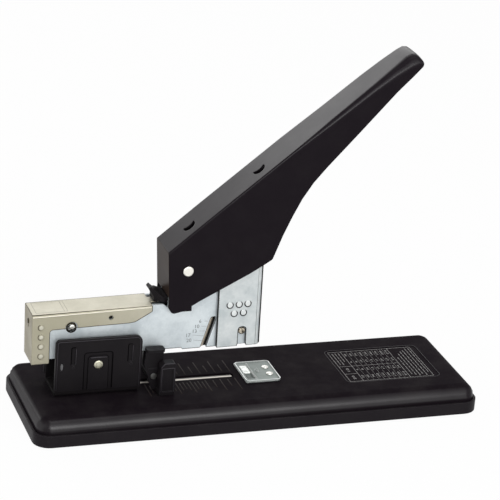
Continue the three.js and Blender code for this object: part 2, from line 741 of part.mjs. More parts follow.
// A folded steel channel: a floor on the base and two ears that carry the hinge pin.
function hingeBracket() {
  const floorTop = BRACKET_SEAT + BRACKET_FLOOR;
  const section = outline([
    [-EAR_OUTER, BRACKET_SEAT, 1.5],
    [EAR_OUTER, BRACKET_SEAT, 1.5],
    [EAR_OUTER, BRACKET_TOP],
    [BRACKET_INNER, BRACKET_TOP],
    [BRACKET_INNER, floorTop, 1],
    [-BRACKET_INNER, floorTop, 1],
    [-BRACKET_INNER, BRACKET_TOP],
    [-EAR_OUTER, BRACKET_TOP],
  ]);
  const side = outline([
    [BRACKET_LEFT, BRACKET_SEAT - 1],
    [BRACKET_RIGHT, BRACKET_SEAT - 1],
    [BRACKET_RIGHT, BRACKET_TOP, 4],
    [BRACKET_LEFT, BRACKET_TOP, 3],
  ]);
  let bracket = lengthwise(section, BRACKET_LEFT, BRACKET_RIGHT);
  bracket = bracket.intersect(across(side, -EAR_OUTER - 1, EAR_OUTER + 1));
  bracket = bracket.subtract(barY(PIN_RADIUS + CLEAR, -20, 20, PIN_X, PIN_Z));
  BRACKET_RIVETS.forEach(([x]) => {
    bracket = bracket.subtract(barZ(RIVET_SHANK + CLEAR, 0, floorTop + 1, x, 0, 12));
  });
  return bracket;
}

// The moulded cover on the outside of an ear. Its face has a raised rim, two grooves, a window
// and an inverted-U panel round the pin. Made on the near side; the far one is its mirror image.
function hingeCover(side) {
  const inner = EAR_OUTER + SEAT;
  const outer = COVER_OUTER;
  const left = BRACKET_LEFT - COVER_LIP;
  const right = BRACKET_RIGHT + COVER_LIP;
  const edge = outline([
    [left, COVER_BOTTOM, 1],
    [right, COVER_BOTTOM, 1],
    [right, COVER_TOP, COVER_CORNER],
    [left, COVER_TOP, 2.5],
  ]);
  const field = outline([
    [left + COVER_RIM, COVER_BOTTOM - 1],
    [right - COVER_RIM, COVER_BOTTOM - 1],
    [right - COVER_RIM, COVER_TOP - COVER_RIM, COVER_CORNER - COVER_RIM],
    [left + COVER_RIM, COVER_TOP - COVER_RIM, 1.6],
  ]);
  const face = outer - COVER_RELIEF;
  const y = (a, b) => (side < 0 ? [-b, -a] : [a, b]);
  let cover = across(edge, ...y(inner, outer));
  cover = cover.subtract(across(field, ...y(face, outer + 1)));
  const panel = (half, top) => rectangle(PIN_X - half, PIN_X + half, COVER_BOTTOM - 2, top, 2.4);
  const channel = across(panel(COVER_PANEL + 3, PIN_Z + 8.6), ...y(face - COVER_GROOVE, outer + 1));
  const tongue = across(panel(COVER_PANEL, PIN_Z + 5.8), ...y(inner, outer + 2));
  cover = cover.subtract(channel.subtract(tongue));
  [left + 11.6, right - 6.6].forEach((x) => {
    const groove = rectangle(x - 1.4, x + 1.4, PIN_Z + 0.6, PIN_Z + 12.6, 1);
    cover = cover.subtract(across(groove, ...y(face - COVER_GROOVE, outer + 1)));
    cover = cover.add(barY(0.9, ...y(inner + 1, face + 0.3), x, PIN_Z - 0.9, 10));
  });
  const window = rectangle(left + 3.2, left + 5.6, PIN_Z - 3, PIN_Z + 3, 1);
  cover = cover.subtract(across(window, ...y(face - COVER_GROOVE, outer + 1)));
  return cover.subtract(barY(PIN_RADIUS + CLEAR, -20, 20, PIN_X, PIN_Z));
}

// The pin through covers, ears and frame, with a low domed head at each end.
function hingePin() {
  const headStart = COVER_OUTER - COVER_RELIEF + SEAT;
  const profile = [
    [0, -headStart - PIN_HEAD_HEIGHT],
    [PIN_HEAD_RADIUS * 0.8, -headStart - PIN_HEAD_HEIGHT * 0.8],
    [PIN_HEAD_RADIUS, -headStart - PIN_HEAD_HEIGHT * 0.3],
    [PIN_HEAD_RADIUS, -headStart],
    [PIN_RADIUS, -headStart],
    [PIN_RADIUS, headStart],
    [PIN_HEAD_RADIUS, headStart],
    [PIN_HEAD_RADIUS, headStart + PIN_HEAD_HEIGHT * 0.3],
    [PIN_HEAD_RADIUS * 0.8, headStart + PIN_HEAD_HEIGHT * 0.8],
    [0, headStart + PIN_HEAD_HEIGHT],
  ];
  return solid(turned(profile, 20).rotateX(-Math.PI / 2).translate(PIN_X, 0, PIN_Z));
}

// The coil that lifts the head, standing on the bracket floor under the frame.
function liftSpring() {
  const x = PIN_X + LIFT_U;
  const bottom = BRACKET_SEAT + BRACKET_FLOOR + SEAT + LIFT_WIRE;
  const top = PIN_Z + FRAME_BOTTOM + LIFT_U * Math.tan(rad(HEAD_TILT)) - CLEAR - LIFT_WIRE;
  const start = new THREE.Vector3(x, 0, bottom);
  const end = new THREE.Vector3(x, 0, top);
  return wire(new Coil(start, end, LIFT_RADIUS, LIFT_TURNS), LIFT_WIRE, LIFT_TURNS * 10, 5);
}

function makeHinge() {
  piece(stapler, "hinge_bracket", hingeBracket(), "blackPaint");
  piece(stapler, "hinge_cover_near", hingeCover(-1), "blackPlastic");
  piece(stapler, "hinge_cover_far", hingeCover(1), "blackPlastic");
  piece(stapler, "hinge_pin", hingePin(), "bright");
  BRACKET_RIVETS.forEach(([x, name]) => {
    const seat = BRACKET_SEAT + BRACKET_FLOOR + SEAT;
    piece(stapler, "bracket_rivet_" + name, plateRivet(x, 0, seat, BRACKET_RIVET_RADIUS), "steel");
  });
  piece(stapler, "lift_spring", liftSpring(), "steel");
}

// ---------------------------------------------------------------- head frame

// The zinc-plated channel: two tall walls on a narrow floor, with ears down round the hinge
// pin, a notch under the handle and ears up round the handle pivot.
function headFrame() {
  const side = outline([
    [FRAME_LEFT, FRAME_BOTTOM, 1],
    [-FRAME_EAR_RADIUS - 3, FRAME_BOTTOM, 2],
    [-FRAME_EAR_RADIUS + 1, -FRAME_EAR_RADIUS, 4],
    [FRAME_EAR_RADIUS - 1, -FRAME_EAR_RADIUS, 4],
    [FRAME_EAR_RADIUS + 3, FRAME_BOTTOM, 2],
    [THROAT_START - 1, FRAME_BOTTOM],
    [THROAT_START, THROAT_BOTTOM],
    [FRAME_END, THROAT_BOTTOM],
    [FRAME_END, FRAME_PILLAR],
    [HOUSING_LEFT + 6, FRAME_PILLAR],
    [PIVOT_U + 10, PIVOT_W - 4, 3],
    [PIVOT_U + 6, PIVOT_W + 8, 5],
    [PIVOT_U - 6, PIVOT_W + 8, 5],
    [PIVOT_U - 7.6, PIVOT_W - 12, 3],
    [45.6, 39.4, 2],
    [45.2, 32.4, 0.6],
    [42.2, FRAME_TOP + FRAME_STEP, 0.6],
    [MAGAZINE_RIGHT + CLEAR, FRAME_TOP + FRAME_STEP, 0.3],
    [MAGAZINE_RIGHT + CLEAR, FRAME_TOP],
    [FRAME_LEFT, FRAME_TOP, 2],
  ]);
  let frame = across(side, -FRAME_HALF, FRAME_HALF, 3);
  const inside = outline([
    [FRAME_LEFT - 1, FRAME_BOTTOM + FRAME_SHEET],
    [FRAME_FLOOR_END, FRAME_BOTTOM + FRAME_SHEET],
    [FRAME_FLOOR_END, THROAT_BOTTOM - 12],
    [HOUSING_FRONT + 9, THROAT_BOTTOM - 12],
    [HOUSING_FRONT + 9, PIVOT_W + 20],
    [FRAME_LEFT - 1, PIVOT_W + 20],
  ]);
  frame = frame.subtract(across(inside, -FRAME_INNER, FRAME_INNER));
  frame = frame.subtract(
    block(-12, 12, -FRAME_INNER, FRAME_INNER, -FRAME_EAR_RADIUS - 1, FRAME_BOTTOM),
  );
  frame = frame.add(bridge());
  frame = frame.subtract(barY(PIN_RADIUS + CLEAR, -20, 20, 0, 0));
  frame = frame.subtract(barY(PIVOT_RADIUS + CLEAR, -20, 20, PIVOT_U, PIVOT_W));
  frame = frame.subtract(barY(LATCH_PIN_RADIUS + CLEAR, -20, 20, LATCH_U, LATCH_W, 12));
  frame = frame.subtract(barY(CATCH_HOLE_RADIUS, -20, 20, CATCH_U, CATCH_W, 18));
  frame = frame.subtract(barY(STUD_RADIUS + CLEAR, -20, 20, HOUSING_SLOT_U, HOUSING_SLOT_TOP, 12));
  frame = frame.subtract(across(gaugeSlot(), -20, 20, 3));
  frame = frame.subtract(barY(1.4, 0, 20, LATCH_U + LEG_REACH, LATCH_W + LEG_RISE, 12));
  return frame;
}

// The shelf across the channel that the handle spring stands on.
function bridge() {
  const half = FRAME_INNER + FRAME_SHEET / 2;
  return block(BRIDGE_LEFT, BLADE_BACK - CLEAR, -half, half, BRIDGE_W, BRIDGE_W + BRIDGE_SHEET);
}

// The slanting slot beside the numbers, open at the bottom edge of the frame.
function gaugeSlot() {
  return outline([
    [GAUGE_LEFT, THROAT_BOTTOM - 1],
    [GAUGE_RIGHT, THROAT_BOTTOM - 1],
    [GAUGE_RIGHT + GAUGE_LEAN, GAUGE_TOP, GAUGE_CORNER],
    [GAUGE_LEFT + GAUGE_LEAN, GAUGE_TOP, GAUGE_CORNER],
  ]);
}

// A short rivet in the frame wall; its round head sits in the slot of the front housing.
function housingStud(side) {
  const start = FRAME_INNER + SEAT;
  const seat = HOUSING_HALF - HOUSING_SHEET + SEAT;
  const end = HOUSING_HALF - 0.2;
  const profile = [
    [0, start],
    [STUD_RADIUS, start],
    [STUD_RADIUS, seat],
    [HOUSING_SLOT_HALF - CLEAR, seat],
    [HOUSING_SLOT_HALF - CLEAR, end - 0.4],
    [HOUSING_SLOT_HALF - CLEAR - 0.5, end],
    [0, end],
  ];
  const turn = turned(profile, 14).rotateX(side * -Math.PI / 2);
  return solid(turn.translate(HOUSING_SLOT_U, 0, HOUSING_SLOT_TOP));
}

// The spring leaf inside a frame wall, with the boss that holds the magazine cover shut.
function coverCatch(side) {
  const y = (a, b) => (side < 0 ? [-b, -a] : [a, b]);
  const wall = FRAME_INNER - SEAT;
  const leaf = rectangle(CATCH_U - 13, CATCH_U + 3.4, CATCH_W - 2.8, CATCH_W + 2.8, 2);
  const boss = barY(CATCH_BOSS_RADIUS, ...y(wall - 0.2, FRAME_HALF - 0.8), CATCH_U, CATCH_W, 16);
  const crown = barY(1.5, ...y(wall, FRAME_HALF - 0.15), CATCH_U, CATCH_W, 16);
  return join(across(leaf, ...y(wall - CATCH_SHEET, wall)), boss, crown);
}

// The folded sheet round the front of the head. The blade runs behind its face.
function frontHousing() {
  const inner = HOUSING_HALF - HOUSING_SHEET;
  const plan = outline([
    [HOUSING_LEFT, -HOUSING_HALF],
    [HOUSING_FRONT, -HOUSING_HALF, HOUSING_CORNER],
    [HOUSING_FRONT, HOUSING_HALF, HOUSING_CORNER],
    [HOUSING_LEFT, HOUSING_HALF],
    [HOUSING_LEFT, inner],
    [HOUSING_FRONT - HOUSING_FACE, inner, 0.3],
    [HOUSING_FRONT - HOUSING_FACE, -inner, 0.3],
    [HOUSING_LEFT, -inner],
  ]);
  let housing = upright(plan, HOUSING_BOTTOM, HOUSING_TOP_RIGHT + 2, 4);
  const side = outline([
    [HOUSING_LEFT, HOUSING_BOTTOM],
    [HOUSING_FRONT + 1, HOUSING_BOTTOM],
    [HOUSING_FRONT + 1, HOUSING_TOP_RIGHT],
    [HOUSING_FRONT - 8, HOUSING_TOP_RIGHT, 3],
    [HOUSING_LEFT, HOUSING_TOP_LEFT, 1.5],
  ]);
  housing = housing.intersect(across(side, -20, 20));
  housing = housing.subtract(across(housingSlot(), -20, 20, 3));
  const reach = HOUSING_HALF + MARK_PROUD;
  const root = HOUSING_HALF - 0.5;
  MARKS.forEach(([u, w]) => {
    const wedge = outline([
      [-root, w + MARK_RADIUS + 0.1],
      [-reach, w - MARK_RADIUS],
      [-reach, w - MARK_RADIUS - 1],
      [reach, w - MARK_RADIUS - 1],
      [reach, w - MARK_RADIUS],
      [root, w + MARK_RADIUS + 0.1],
    ]);
    const disc = barY(MARK_RADIUS, -reach, reach, u, w, 20);
    const hollow = block(u - 3, u + 3, -root, root, w - 3, w + 3);
    housing = housing.add(disc.intersect(lengthwise(wedge, u - 3, u + 3)).subtract(hollow));
  });
  return housing;
}

function housingSlot() {
  const half = HOUSING_SLOT_HALF;
  const u = HOUSING_SLOT_U;
  return outline([
    [u - half - 0.8, HOUSING_BOTTOM - 1],
    [u + half + 0.8, HOUSING_BOTTOM - 1],
    [u + half, HOUSING_BOTTOM + 1.6],
    [u + half, HOUSING_SLOT_TOP + half + CLEAR, half * 0.95],
    [u - half, HOUSING_SLOT_TOP + half + CLEAR, half * 0.95],
    [u - half, HOUSING_BOTTOM + 1.6],
  ]);
}

// The inner rail that the staples straddle.
function magazineRail() {
  const section = outline([
    [-CORE_HALF, CORE_BOTTOM],
    [-CORE_HALF, CORE_TOP, 0.8],
    [CORE_HALF, CORE_TOP, 0.8],
    [CORE_HALF, CORE_BOTTOM],
    [CORE_HALF - CORE_SHEET, CORE_BOTTOM],
    [CORE_HALF - CORE_SHEET, CORE_TOP - CORE_SHEET],
    [CORE_SHEET - CORE_HALF, CORE_TOP - CORE_SHEET],
    [CORE_SHEET - CORE_HALF, CORE_BOTTOM],
  ]);
  return lengthwise(section, CORE_LEFT, STRIP_FRONT);
}

// A glued strip of staples, legs down.
function stapleStrip() {
  const section = outline([
    [-STAPLE_HALF, STAPLE_BOTTOM],
    [-STAPLE_HALF, STAPLE_TOP, 0.5],
    [STAPLE_HALF, STAPLE_TOP, 0.5],
    [STAPLE_HALF, STAPLE_BOTTOM],
    [STAPLE_HALF - STAPLE_WIRE * 0.5, STAPLE_BOTTOM - 0.5],
    [STAPLE_HALF - STAPLE_WIRE, STAPLE_BOTTOM],
    [STAPLE_HALF - STAPLE_WIRE, STAPLE_TOP - STAPLE_WIRE],
    [STAPLE_WIRE - STAPLE_HALF, STAPLE_TOP - STAPLE_WIRE],
    [STAPLE_WIRE - STAPLE_HALF, STAPLE_BOTTOM],
    [STAPLE_WIRE * 0.5 - STAPLE_HALF, STAPLE_BOTTOM - 0.5],
  ]);
  return lengthwise(section, STRIP_BACK, STRIP_FRONT);
}

function makeFrame() {
  piece(head, "head_frame", headFrame(), "zinc");
  piece(head, "front_housing", frontHousing(), "zinc");
  piece(head, "magazine_rail", magazineRail(), "zinc");
  piece(head, "staple_strip", stapleStrip(), "steel");
  SIDES.forEach(([side, name]) => {
    piece(head, "housing_stud_" + name, housingStud(side), "steel");
    piece(head, "cover_catch_" + name, coverCatch(side), "steel");
  });
}

// ---------------------------------------------------------------- magazine cover and pusher

// The nickel-plated lid of the magazine: it slides off to the left on the frame.
function magazineCover() {
  const side = outline([
    [MAGAZINE_LEFT, MAGAZINE_BOTTOM],
    [MAGAZINE_LEFT + MAGAZINE_LEG, MAGAZINE_BOTTOM, 0.8],
    [MAGAZINE_LEFT + MAGAZINE_LEG, MAGAZINE_SKIRT, 2.5],
    [21.2, MAGAZINE_SKIRT + 0.3, 4],
    [24.1, MAGAZINE_SKIRT + 0.8],
    [MAGAZINE_RIGHT, 31.2, 0.6],
    [MAGAZINE_RIGHT, MAGAZINE_TOP],
    [MAGAZINE_LEFT, MAGAZINE_TOP],
  ]);
  const section = rectangle(-MAGAZINE_HALF, MAGAZINE_HALF, -60, MAGAZINE_TOP, 1.6);
  const hollow = rectangle(
    MAGAZINE_SHEET - MAGAZINE_HALF,
    MAGAZINE_HALF - MAGAZINE_SHEET,
    -70,
    MAGAZINE_INNER_TOP,
    0.6,
  );
  let cover = lengthwise(section, MAGAZINE_LEFT, MAGAZINE_RIGHT, 3);
  cover = cover.intersect(across(side, -20, 20));
  cover = cover.subtract(lengthwise(hollow, MAGAZINE_LEFT + MAGAZINE_SHEET, MAGAZINE_RIGHT + 1));
  cover = cover.add(block(MAGAZINE_RIGHT - 1, CATCH_TAB_END, -3.4, 3.4, MAGAZINE_INNER_TOP, MAGAZINE_TOP));
  cover = cover.subtract(barY(1, -6, 6, (TOOTH_LEFT + TOOTH_RIGHT) / 2, MAGAZINE_TOP + 0.5, 12));
  cover = cover.subtract(barY(CATCH_HOLE_RADIUS + 0.7, -20, 20, CATCH_U, CATCH_W, 20));
  cover = cover.subtract(barY(PEEP_RADIUS, -20, 20, PEEP_U, PEEP_W, 12));
  cover = cover.subtract(block(MAGAZINE_LEFT - 1, MAGAZINE_LEFT + 2, -0.8, 0.8, 23.4, 29));
  cover = cover.subtract(barX(ROD_RADIUS + SEAT, MAGAZINE_LEFT - 1, MAGAZINE_LEFT + 2, 0, ROD_W, 12));
  DIMPLES.forEach((w) => {
    [-1, 1].forEach((end) => {
      const outer = end * (MAGAZINE_HALF + DIMPLE_PROUD);
      const root = end * (MAGAZINE_HALF - 0.5);
      const u = MAGAZINE_LEFT + DIMPLE_INSET;
      cover = cover.add(barY(DIMPLE_RADIUS, Math.min(outer, root), Math.max(outer, root), u, w, 14));
    });
  });
  return cover;
}

// The rod that carries the pusher and its spring, riveted in the end of the cover.
function pusherRod() {
  const left = MAGAZINE_LEFT - 0.6;
  const rod = barX(ROD_RADIUS, left, ROD_END, 0, ROD_W, 12);
  const collarLeft = MAGAZINE_LEFT + MAGAZINE_SHEET + SEAT;
  const collar = barX(ROD_RADIUS + 1.2, collarLeft, collarLeft + 1, 0, ROD_W, 12);
  const stop = barX(ROD_RADIUS + 1, ROD_END - 1.2, ROD_END, 0, ROD_W, 12);
  return join(rod, collar, stop);
}

function pusherSpring() {
  const radius = ROD_RADIUS + CLEAR + PUSHER_WIRE + 0.2;
  const left = MAGAZINE_LEFT + MAGAZINE_SHEET + 2 * SEAT + 1 + PUSHER_WIRE + 0.1;
  const start = new THREE.Vector3(left, 0, ROD_W);
  const end = new THREE.Vector3(PUSHER_RIGHT - PUSHER_LENGTH - PUSHER_WIRE, 0, ROD_W);
  return wire(new Coil(start, end, radius, PUSHER_TURNS), PUSHER_WIRE, PUSHER_TURNS * 8, 5);
}

// The saddle that rides on the rail and pushes the strip, with a sleeve on the rod.
function pusherBody() {
  const inner = CORE_HALF + CLEAR;
  const outer = inner + PUSHER_SHEET;
  const left = PUSHER_RIGHT - PUSHER_LENGTH;
  const section = outline([
    [-outer, CORE_BOTTOM + 0.6],
    [-outer, CORE_TOP + CLEAR + PUSHER_CROWN, 1],
    [outer, CORE_TOP + CLEAR + PUSHER_CROWN, 1],
    [outer, CORE_BOTTOM + 0.6],
    [inner, CORE_BOTTOM + 0.6],
    [inner, CORE_TOP + CLEAR],
    [-inner, CORE_TOP + CLEAR],
    [-inner, CORE_BOTTOM + 0.6],
  ]);
  let body = lengthwise(section, left, PUSHER_RIGHT);
  body = body.add(barX(SLEEVE_RADIUS, left, PUSHER_RIGHT, 0, ROD_W, 20));
  return body.subtract(barX(SLEEVE_BORE, left - 1, PUSHER_RIGHT + 1, 0, ROD_W, 18));
}

function makeMagazine() {
  piece(head, "magazine_cover", magazineCover(), "nickel");
  piece(head, "pusher_rod", pusherRod(), "steel");
  piece(head, "pusher_spring", pusherSpring(), "steel");
  piece(head, "pusher", pusherBody(), "blackPlastic");
}

// ---------------------------------------------------------------- release latch

// The tongue that holds the cover shut: lifting its tip frees the tooth from the cover.
function releaseLatch() {
  const side = outline([
    [33.8, 43.7, 0.5],
    [35.5, 45, 0.5],
    [38.8, 41.4, 3],
    [42.6, 39.5, 3],
    [46.4, 39.6],
    [LATCH_U, LATCH_W + LATCH_BOSS - 0.1],
    [LATCH_U, LATCH_W - LATCH_BOSS + 0.1],
    [44.6, 36.3],
    [TOOTH_RIGHT + 0.6, 36.5],
    [TOOTH_RIGHT, TOOTH_BOTTOM],
    [TOOTH_LEFT, TOOTH_BOTTOM],
    [TOOTH_LEFT, 38.6],
    [35.8, 40.8, 2],
  ]);
  const plan = outline([
    [33, -2.8, 1.4],
    [37, -4.4, 3],
    [40.6, -LATCH_WING, 2],
    [44.6, -LATCH_WING, 0.6],
    [44.6, -LATCH_HALF],
    [LATCH_U + 5, -LATCH_HALF],
    [LATCH_U + 5, LATCH_HALF],
    [44.6, LATCH_HALF],
    [44.6, LATCH_WING, 0.6],
    [40.6, LATCH_WING, 2],
    [37, 4.4, 3],
    [33, 2.8, 1.4],
  ]);
  let latch = across(side, -LATCH_WING, LATCH_WING, 3).intersect(upright(plan, 20, 60, 3));
  latch = latch.add(barY(LATCH_BOSS, -LATCH_HALF, LATCH_HALF, LATCH_U, LATCH_W, 20));
  latch = latch.subtract(block(LATCH_U - 3.2, LATCH_U + 9, 1.6, 5.4, LATCH_W - 3.2, LATCH_W + 9));
  return latch.subtract(barY(LATCH_PIN_RADIUS + SEAT, -9, 9, LATCH_U, LATCH_W, 14));
}

function latchPin() {
  const end = FRAME_HALF + 0.3;
  return barY(LATCH_PIN_RADIUS, -end, end, LATCH_U, LATCH_W, 14);
}

// A small torsion coil round the latch pin, its leg held in a hole of the frame.
function latchSpring() {
  const wireRadius = 0.35;
  const radius = LATCH_PIN_RADIUS + wireRadius + CLEAR;
  const start = new THREE.Vector3(LATCH_U, 2.1, LATCH_W);
  const end = new THREE.Vector3(LATCH_U, 4.8, LATCH_W);
  const coil = wire(new Coil(start, end, radius, 3), wireRadius, 30, 5);
  const z = LATCH_W + LEG_RISE;
  const leg = barY(wireRadius, 4.7, FRAME_HALF - 0.2, LATCH_U + LEG_REACH, z, 8);
  const arm = wire(
    new THREE.LineCurve3(
      new THREE.Vector3(LATCH_U, 4.8, LATCH_W + radius),
      new THREE.Vector3(LATCH_U + LEG_REACH + 0.1, 4.9, z),
    ),
    wireRadius,
    1,
    6,
  );
  return join(coil, arm, leg);
}

function makeLatch() {
  piece(head, "release_latch", releaseLatch(), "blackPlastic");
  piece(head, "latch_pin", latchPin(), "bright");
  piece(head, "latch_spring", latchSpring(), "steel");
}

// ---------------------------------------------------------------- handle

// The handle is laid out along its own slope: s runs up the handle, t stands off its top.
function slope(s, t) {
  const c = Math.cos(rad(HANDLE_SLOPE));
  const d = Math.sin(rad(HANDLE_SLOPE));
  return [s * c - t * d, s * d + t * c];
}

// From here the stations round off the tip, so the hollow is drawn in along the slope as well.
const TIP_START = 250;

// Stations along the handle: [s, height of the top, radius of the shoulders, half-width].
const STATIONS = [
  [40, 28.7, 1.2, HANDLE_HALF],
  [113, 28.7, 1.2, HANDLE_HALF],
  [177, 28.2, 1.3, HANDLE_HALF],
  [193, 28, 2, HANDLE_HALF],
  [209, 27.9, 3, HANDLE_HALF],
  [241, 27.7, 4, HANDLE_HALF],
  [256, 27.5, 5.2, HANDLE_HALF],
  [268, 27.2, 7, HANDLE_HALF],
  [272, 26.4, 7, HANDLE_HALF],
  [274.2, 24.6, 7, HANDLE_HALF - 0.6],
  [275.2, 21.8, 7, HANDLE_HALF - 2],
];

// A solid under the handle's top surface, drawn in all round by an offset.
function handleBlock(offset) {
  const steps = 5;
  const rings = STATIONS.map(([s, top, shoulder, half]) => {
    const radius = Math.max(shoulder - offset, 0.5);
    const y = half - offset;
    const t = top - offset;
    const ring = [new THREE.Vector2(-y, t - HANDLE_DEPTH)];
    for (let i = 0; i <= steps; i += 1) {
      const angle = (i / steps) * (Math.PI / 2);
      ring.push(new THREE.Vector2(-y + radius * (1 - Math.cos(angle)), t - radius * (1 - Math.sin(angle))));
    }
    const mirrored = ring.map((p) => new THREE.Vector2(-p.x, p.y)).reverse();
    const all = ring.concat(mirrored);
    return all.map((p) => {
      const [u, w] = slope(s > TIP_START ? s - offset : s, p.y);
      return new THREE.Vector3(u, p.x, w);
    });
  });
  return loft(rings.map((ring) => ring.reverse()));
}

// The side view of the handle: the lobe over the frame, the shoulder and the long grip.
const HANDLE_SIDE = [
  [42.9, 70.6, 1.5],
  [44.4, 39.4],
  [44.3, 34, 3],
  [46.6, 29.6, 3],
  [53.2, 30.9],
  [59.3, 30.8],
  [59.3, 34.2],
  [64.5, 37.1],
  [96.7, 53.2],
  [105.6, 58.3],
  [110.9, 61.6, 3],
  [116.9, 77.4],
  [122.5, 89.9],
  [128.1, 101],
  [135, 111.5],
  [143.2, 121.1],
  [163.1, 142.6],
  [186.5, 168.3],
  [195.9, 177.4],
  [203.6, 185.4, 3],
  [189.9, 203.4],
  [150, 260],
  [42.9, 140],
];

function handleShell() {
  const [webTop, webTopW] = HANDLE_SIDE[0];
  const [webFoot] = HANDLE_SIDE[1];
  const [, gripTopW] = HANDLE_SIDE.at(-1);
  const hollowSide = outline([
    [webTop + HANDLE_SHEET, webTopW],
    [webFoot + HANDLE_SHEET, WEB_BOTTOM],
    [webFoot - BEYOND, WEB_BOTTOM],
    [webFoot - BEYOND, -BEYOND],
    [3 * BEYOND, -BEYOND],
    [3 * BEYOND, 3 * BEYOND],
    [webTop + HANDLE_SHEET, gripTopW],
  ]);
  let shell = handleBlock(0).intersect(across(outline(HANDLE_SIDE), -BEYOND, BEYOND, 3));
  shell = shell.subtract(handleBlock(HANDLE_SHEET).intersect(across(hollowSide, -BEYOND, BEYOND)));
  const hornDrop = (TONGUE_REACH ** 2 + LANCE_RADIUS ** 2 - TONGUE_RADIUS ** 2) / 2 / TONGUE_REACH;
  const hornHalf = Math.sqrt(LANCE_RADIUS ** 2 - hornDrop ** 2);
  const horn = Math.atan2(-hornDrop, hornHalf);
  const tongue = Math.atan2(TONGUE_REACH - hornDrop, hornHalf);
  LANCES.forEach((s) => {
    const [u, w] = slope(s, STATIONS[0][1] - 10);
    const crescent = new THREE.Shape();
    crescent.absarc(0, 0, LANCE_RADIUS, horn, Math.PI - horn, false);
    crescent.absarc(0, -TONGUE_REACH, TONGUE_RADIUS, Math.PI - tongue, tongue, true);
    const geometry = extrude(crescent, 20, 8).rotateZ(Math.PI).rotateY(-rad(HANDLE_SLOPE));
    shell = shell.subtract(solid(geometry.translate(u, LANCE_OFFSET, w)));
  });
  return shell.subtract(barY(PIVOT_RADIUS + SEAT, -20, 20, PIVOT_U, PIVOT_W));
}

// A headed pin across the handle.
function crossPin(u, w, radius, headRadius) {
  const seat = HANDLE_HALF + SEAT;
  const end = seat + PIVOT_HEAD_HEIGHT;
  const profile = [
    [0, -end],
    [headRadius - 0.5, -end],
    [headRadius, -end + 0.4],
    [headRadius, -seat],
    [radius, -seat],
    [radius, seat],
    [headRadius, seat],
    [headRadius, end - 0.4],
    [headRadius - 0.5, end],
    [0, end],
  ];
  return solid(turned(profile, 20).rotateX(-Math.PI / 2).translate(u, 0, w));
}

// The bush between the handle side and the frame.
function pivotBush(side) {
  const inner = FRAME_HALF + CLEAR;
  const outer = HANDLE_HALF - HANDLE_SHEET - SEAT;
  const y = side < 0 ? [-outer, -inner] : [inner, outer];
  const bush = barY(BUSH_RADIUS, ...y, PIVOT_U, PIVOT_W, 18);
  return bush.subtract(barY(PIVOT_RADIUS + SEAT, -20, 20, PIVOT_U, PIVOT_W));
}

// A corner of the drive lever: a runs along its arm from the pivot, b stands off the arm.
function alongArm(a, b, radius = 0) {
  const c = Math.cos(rad(DRIVE_ANGLE));
  const d = Math.sin(rad(DRIVE_ANGLE));
  return [PIVOT_U + a * c - b * d, PIVOT_W + a * d + b * c, radius];
}

// The forged lever inside the handle: pivot boss, slim arm with its nose in the driver, and a
// tail up to the tie pin.
function driveLever() {
  const side = outline([
    alongArm(0, -DRIVE_BOSS + 0.2),
    alongArm(9, -6, 6),
    alongArm(DRIVE_RADIUS - 12, -4),
    alongArm(DRIVE_RADIUS - 6, -3.3),
    alongArm(DRIVE_RADIUS, 0.1 - DRIVE_NOSE),
    alongArm(DRIVE_RADIUS, DRIVE_NOSE - 0.1),
    alongArm(DRIVE_RADIUS - 6, 3.3),
    alongArm(DRIVE_RADIUS - 12, 4.4, 3),
    [TIE_U + TIE_BOSS - 0.2, TIE_W],
    [TIE_U - 2, TIE_W + TIE_BOSS - 0.6],
    [TIE_U - TIE_BOSS + 0.4, TIE_W],
    [PIVOT_U + 6, PIVOT_W + 12, 6],
    alongArm(-DRIVE_BOSS + 2, 5),
  ]);
  let lever = across(side, -DRIVE_HALF, DRIVE_HALF, 3);
  lever = lever.add(barY(DRIVE_NOSE, -DRIVE_HALF, DRIVE_HALF, NOSE_U, NOSE_W, 20));
  lever = lever.add(barY(TIE_BOSS, -DRIVE_HALF, DRIVE_HALF, TIE_U, TIE_W, 20));
  lever = lever.add(barY(DRIVE_BOSS, -DRIVE_HALF, DRIVE_HALF, PIVOT_U, PIVOT_W, 24));
  lever = lever.subtract(barY(PIVOT_RADIUS + SEAT, -9, 9, PIVOT_U, PIVOT_W));
  return lever.subtract(barY(TIE_RADIUS + SEAT, -9, 9, TIE_U, TIE_W, 12));
}

function makeHandle() {
  piece(head, "handle_shell", handleShell(), "blackPaint");
  piece(head, "drive_lever", driveLever(), "darkSteel");
  piece(head, "pivot_pin", crossPin(PIVOT_U, PIVOT_W, PIVOT_RADIUS, PIVOT_HEAD_RADIUS), "bright");
  const tieEnd = HANDLE_HALF - HANDLE_SHEET - SEAT;
  piece(head, "tie_pin", barY(TIE_RADIUS, -tieEnd, tieEnd, TIE_U, TIE_W, 12), "darkSteel");
  SIDES.forEach(([side, name]) => piece(head, "pivot_bush_" + name, pivotBush(side), "blackPlastic"));
}

// ---------------------------------------------------------------- driver

// The block that the nose of the lever pushes down; the blade is riveted to its front.
function driverBlock() {
  const half = FRAME_INNER - CLEAR;
  const right = BLADE_BACK - SEAT;
  const room = DRIVE_NOSE + CLEAR;
  const pocket = outline([
    [BLOCK_LEFT - 1, NOSE_W - room - POCKET_FLARE],
    [NOSE_U, NOSE_W - room],
    [right + 1, NOSE_W - room],
    [right + 1, NOSE_W + room],
    [NOSE_U, NOSE_W + room],
    [BLOCK_LEFT - 1, NOSE_W + room + POCKET_FLARE],
  ]);
  let body = block(BLOCK_LEFT, right, -half, half, BLOCK_BOTTOM, BLOCK_TOP);
  body = body.subtract(across(pocket, -DRIVE_HALF - CLEAR, DRIVE_HALF + CLEAR));
  return body.subtract(barX(BLADE_RIVET + SEAT, BLOCK_LEFT - 1, right + 1, 0, RIVET_W, 10));
}

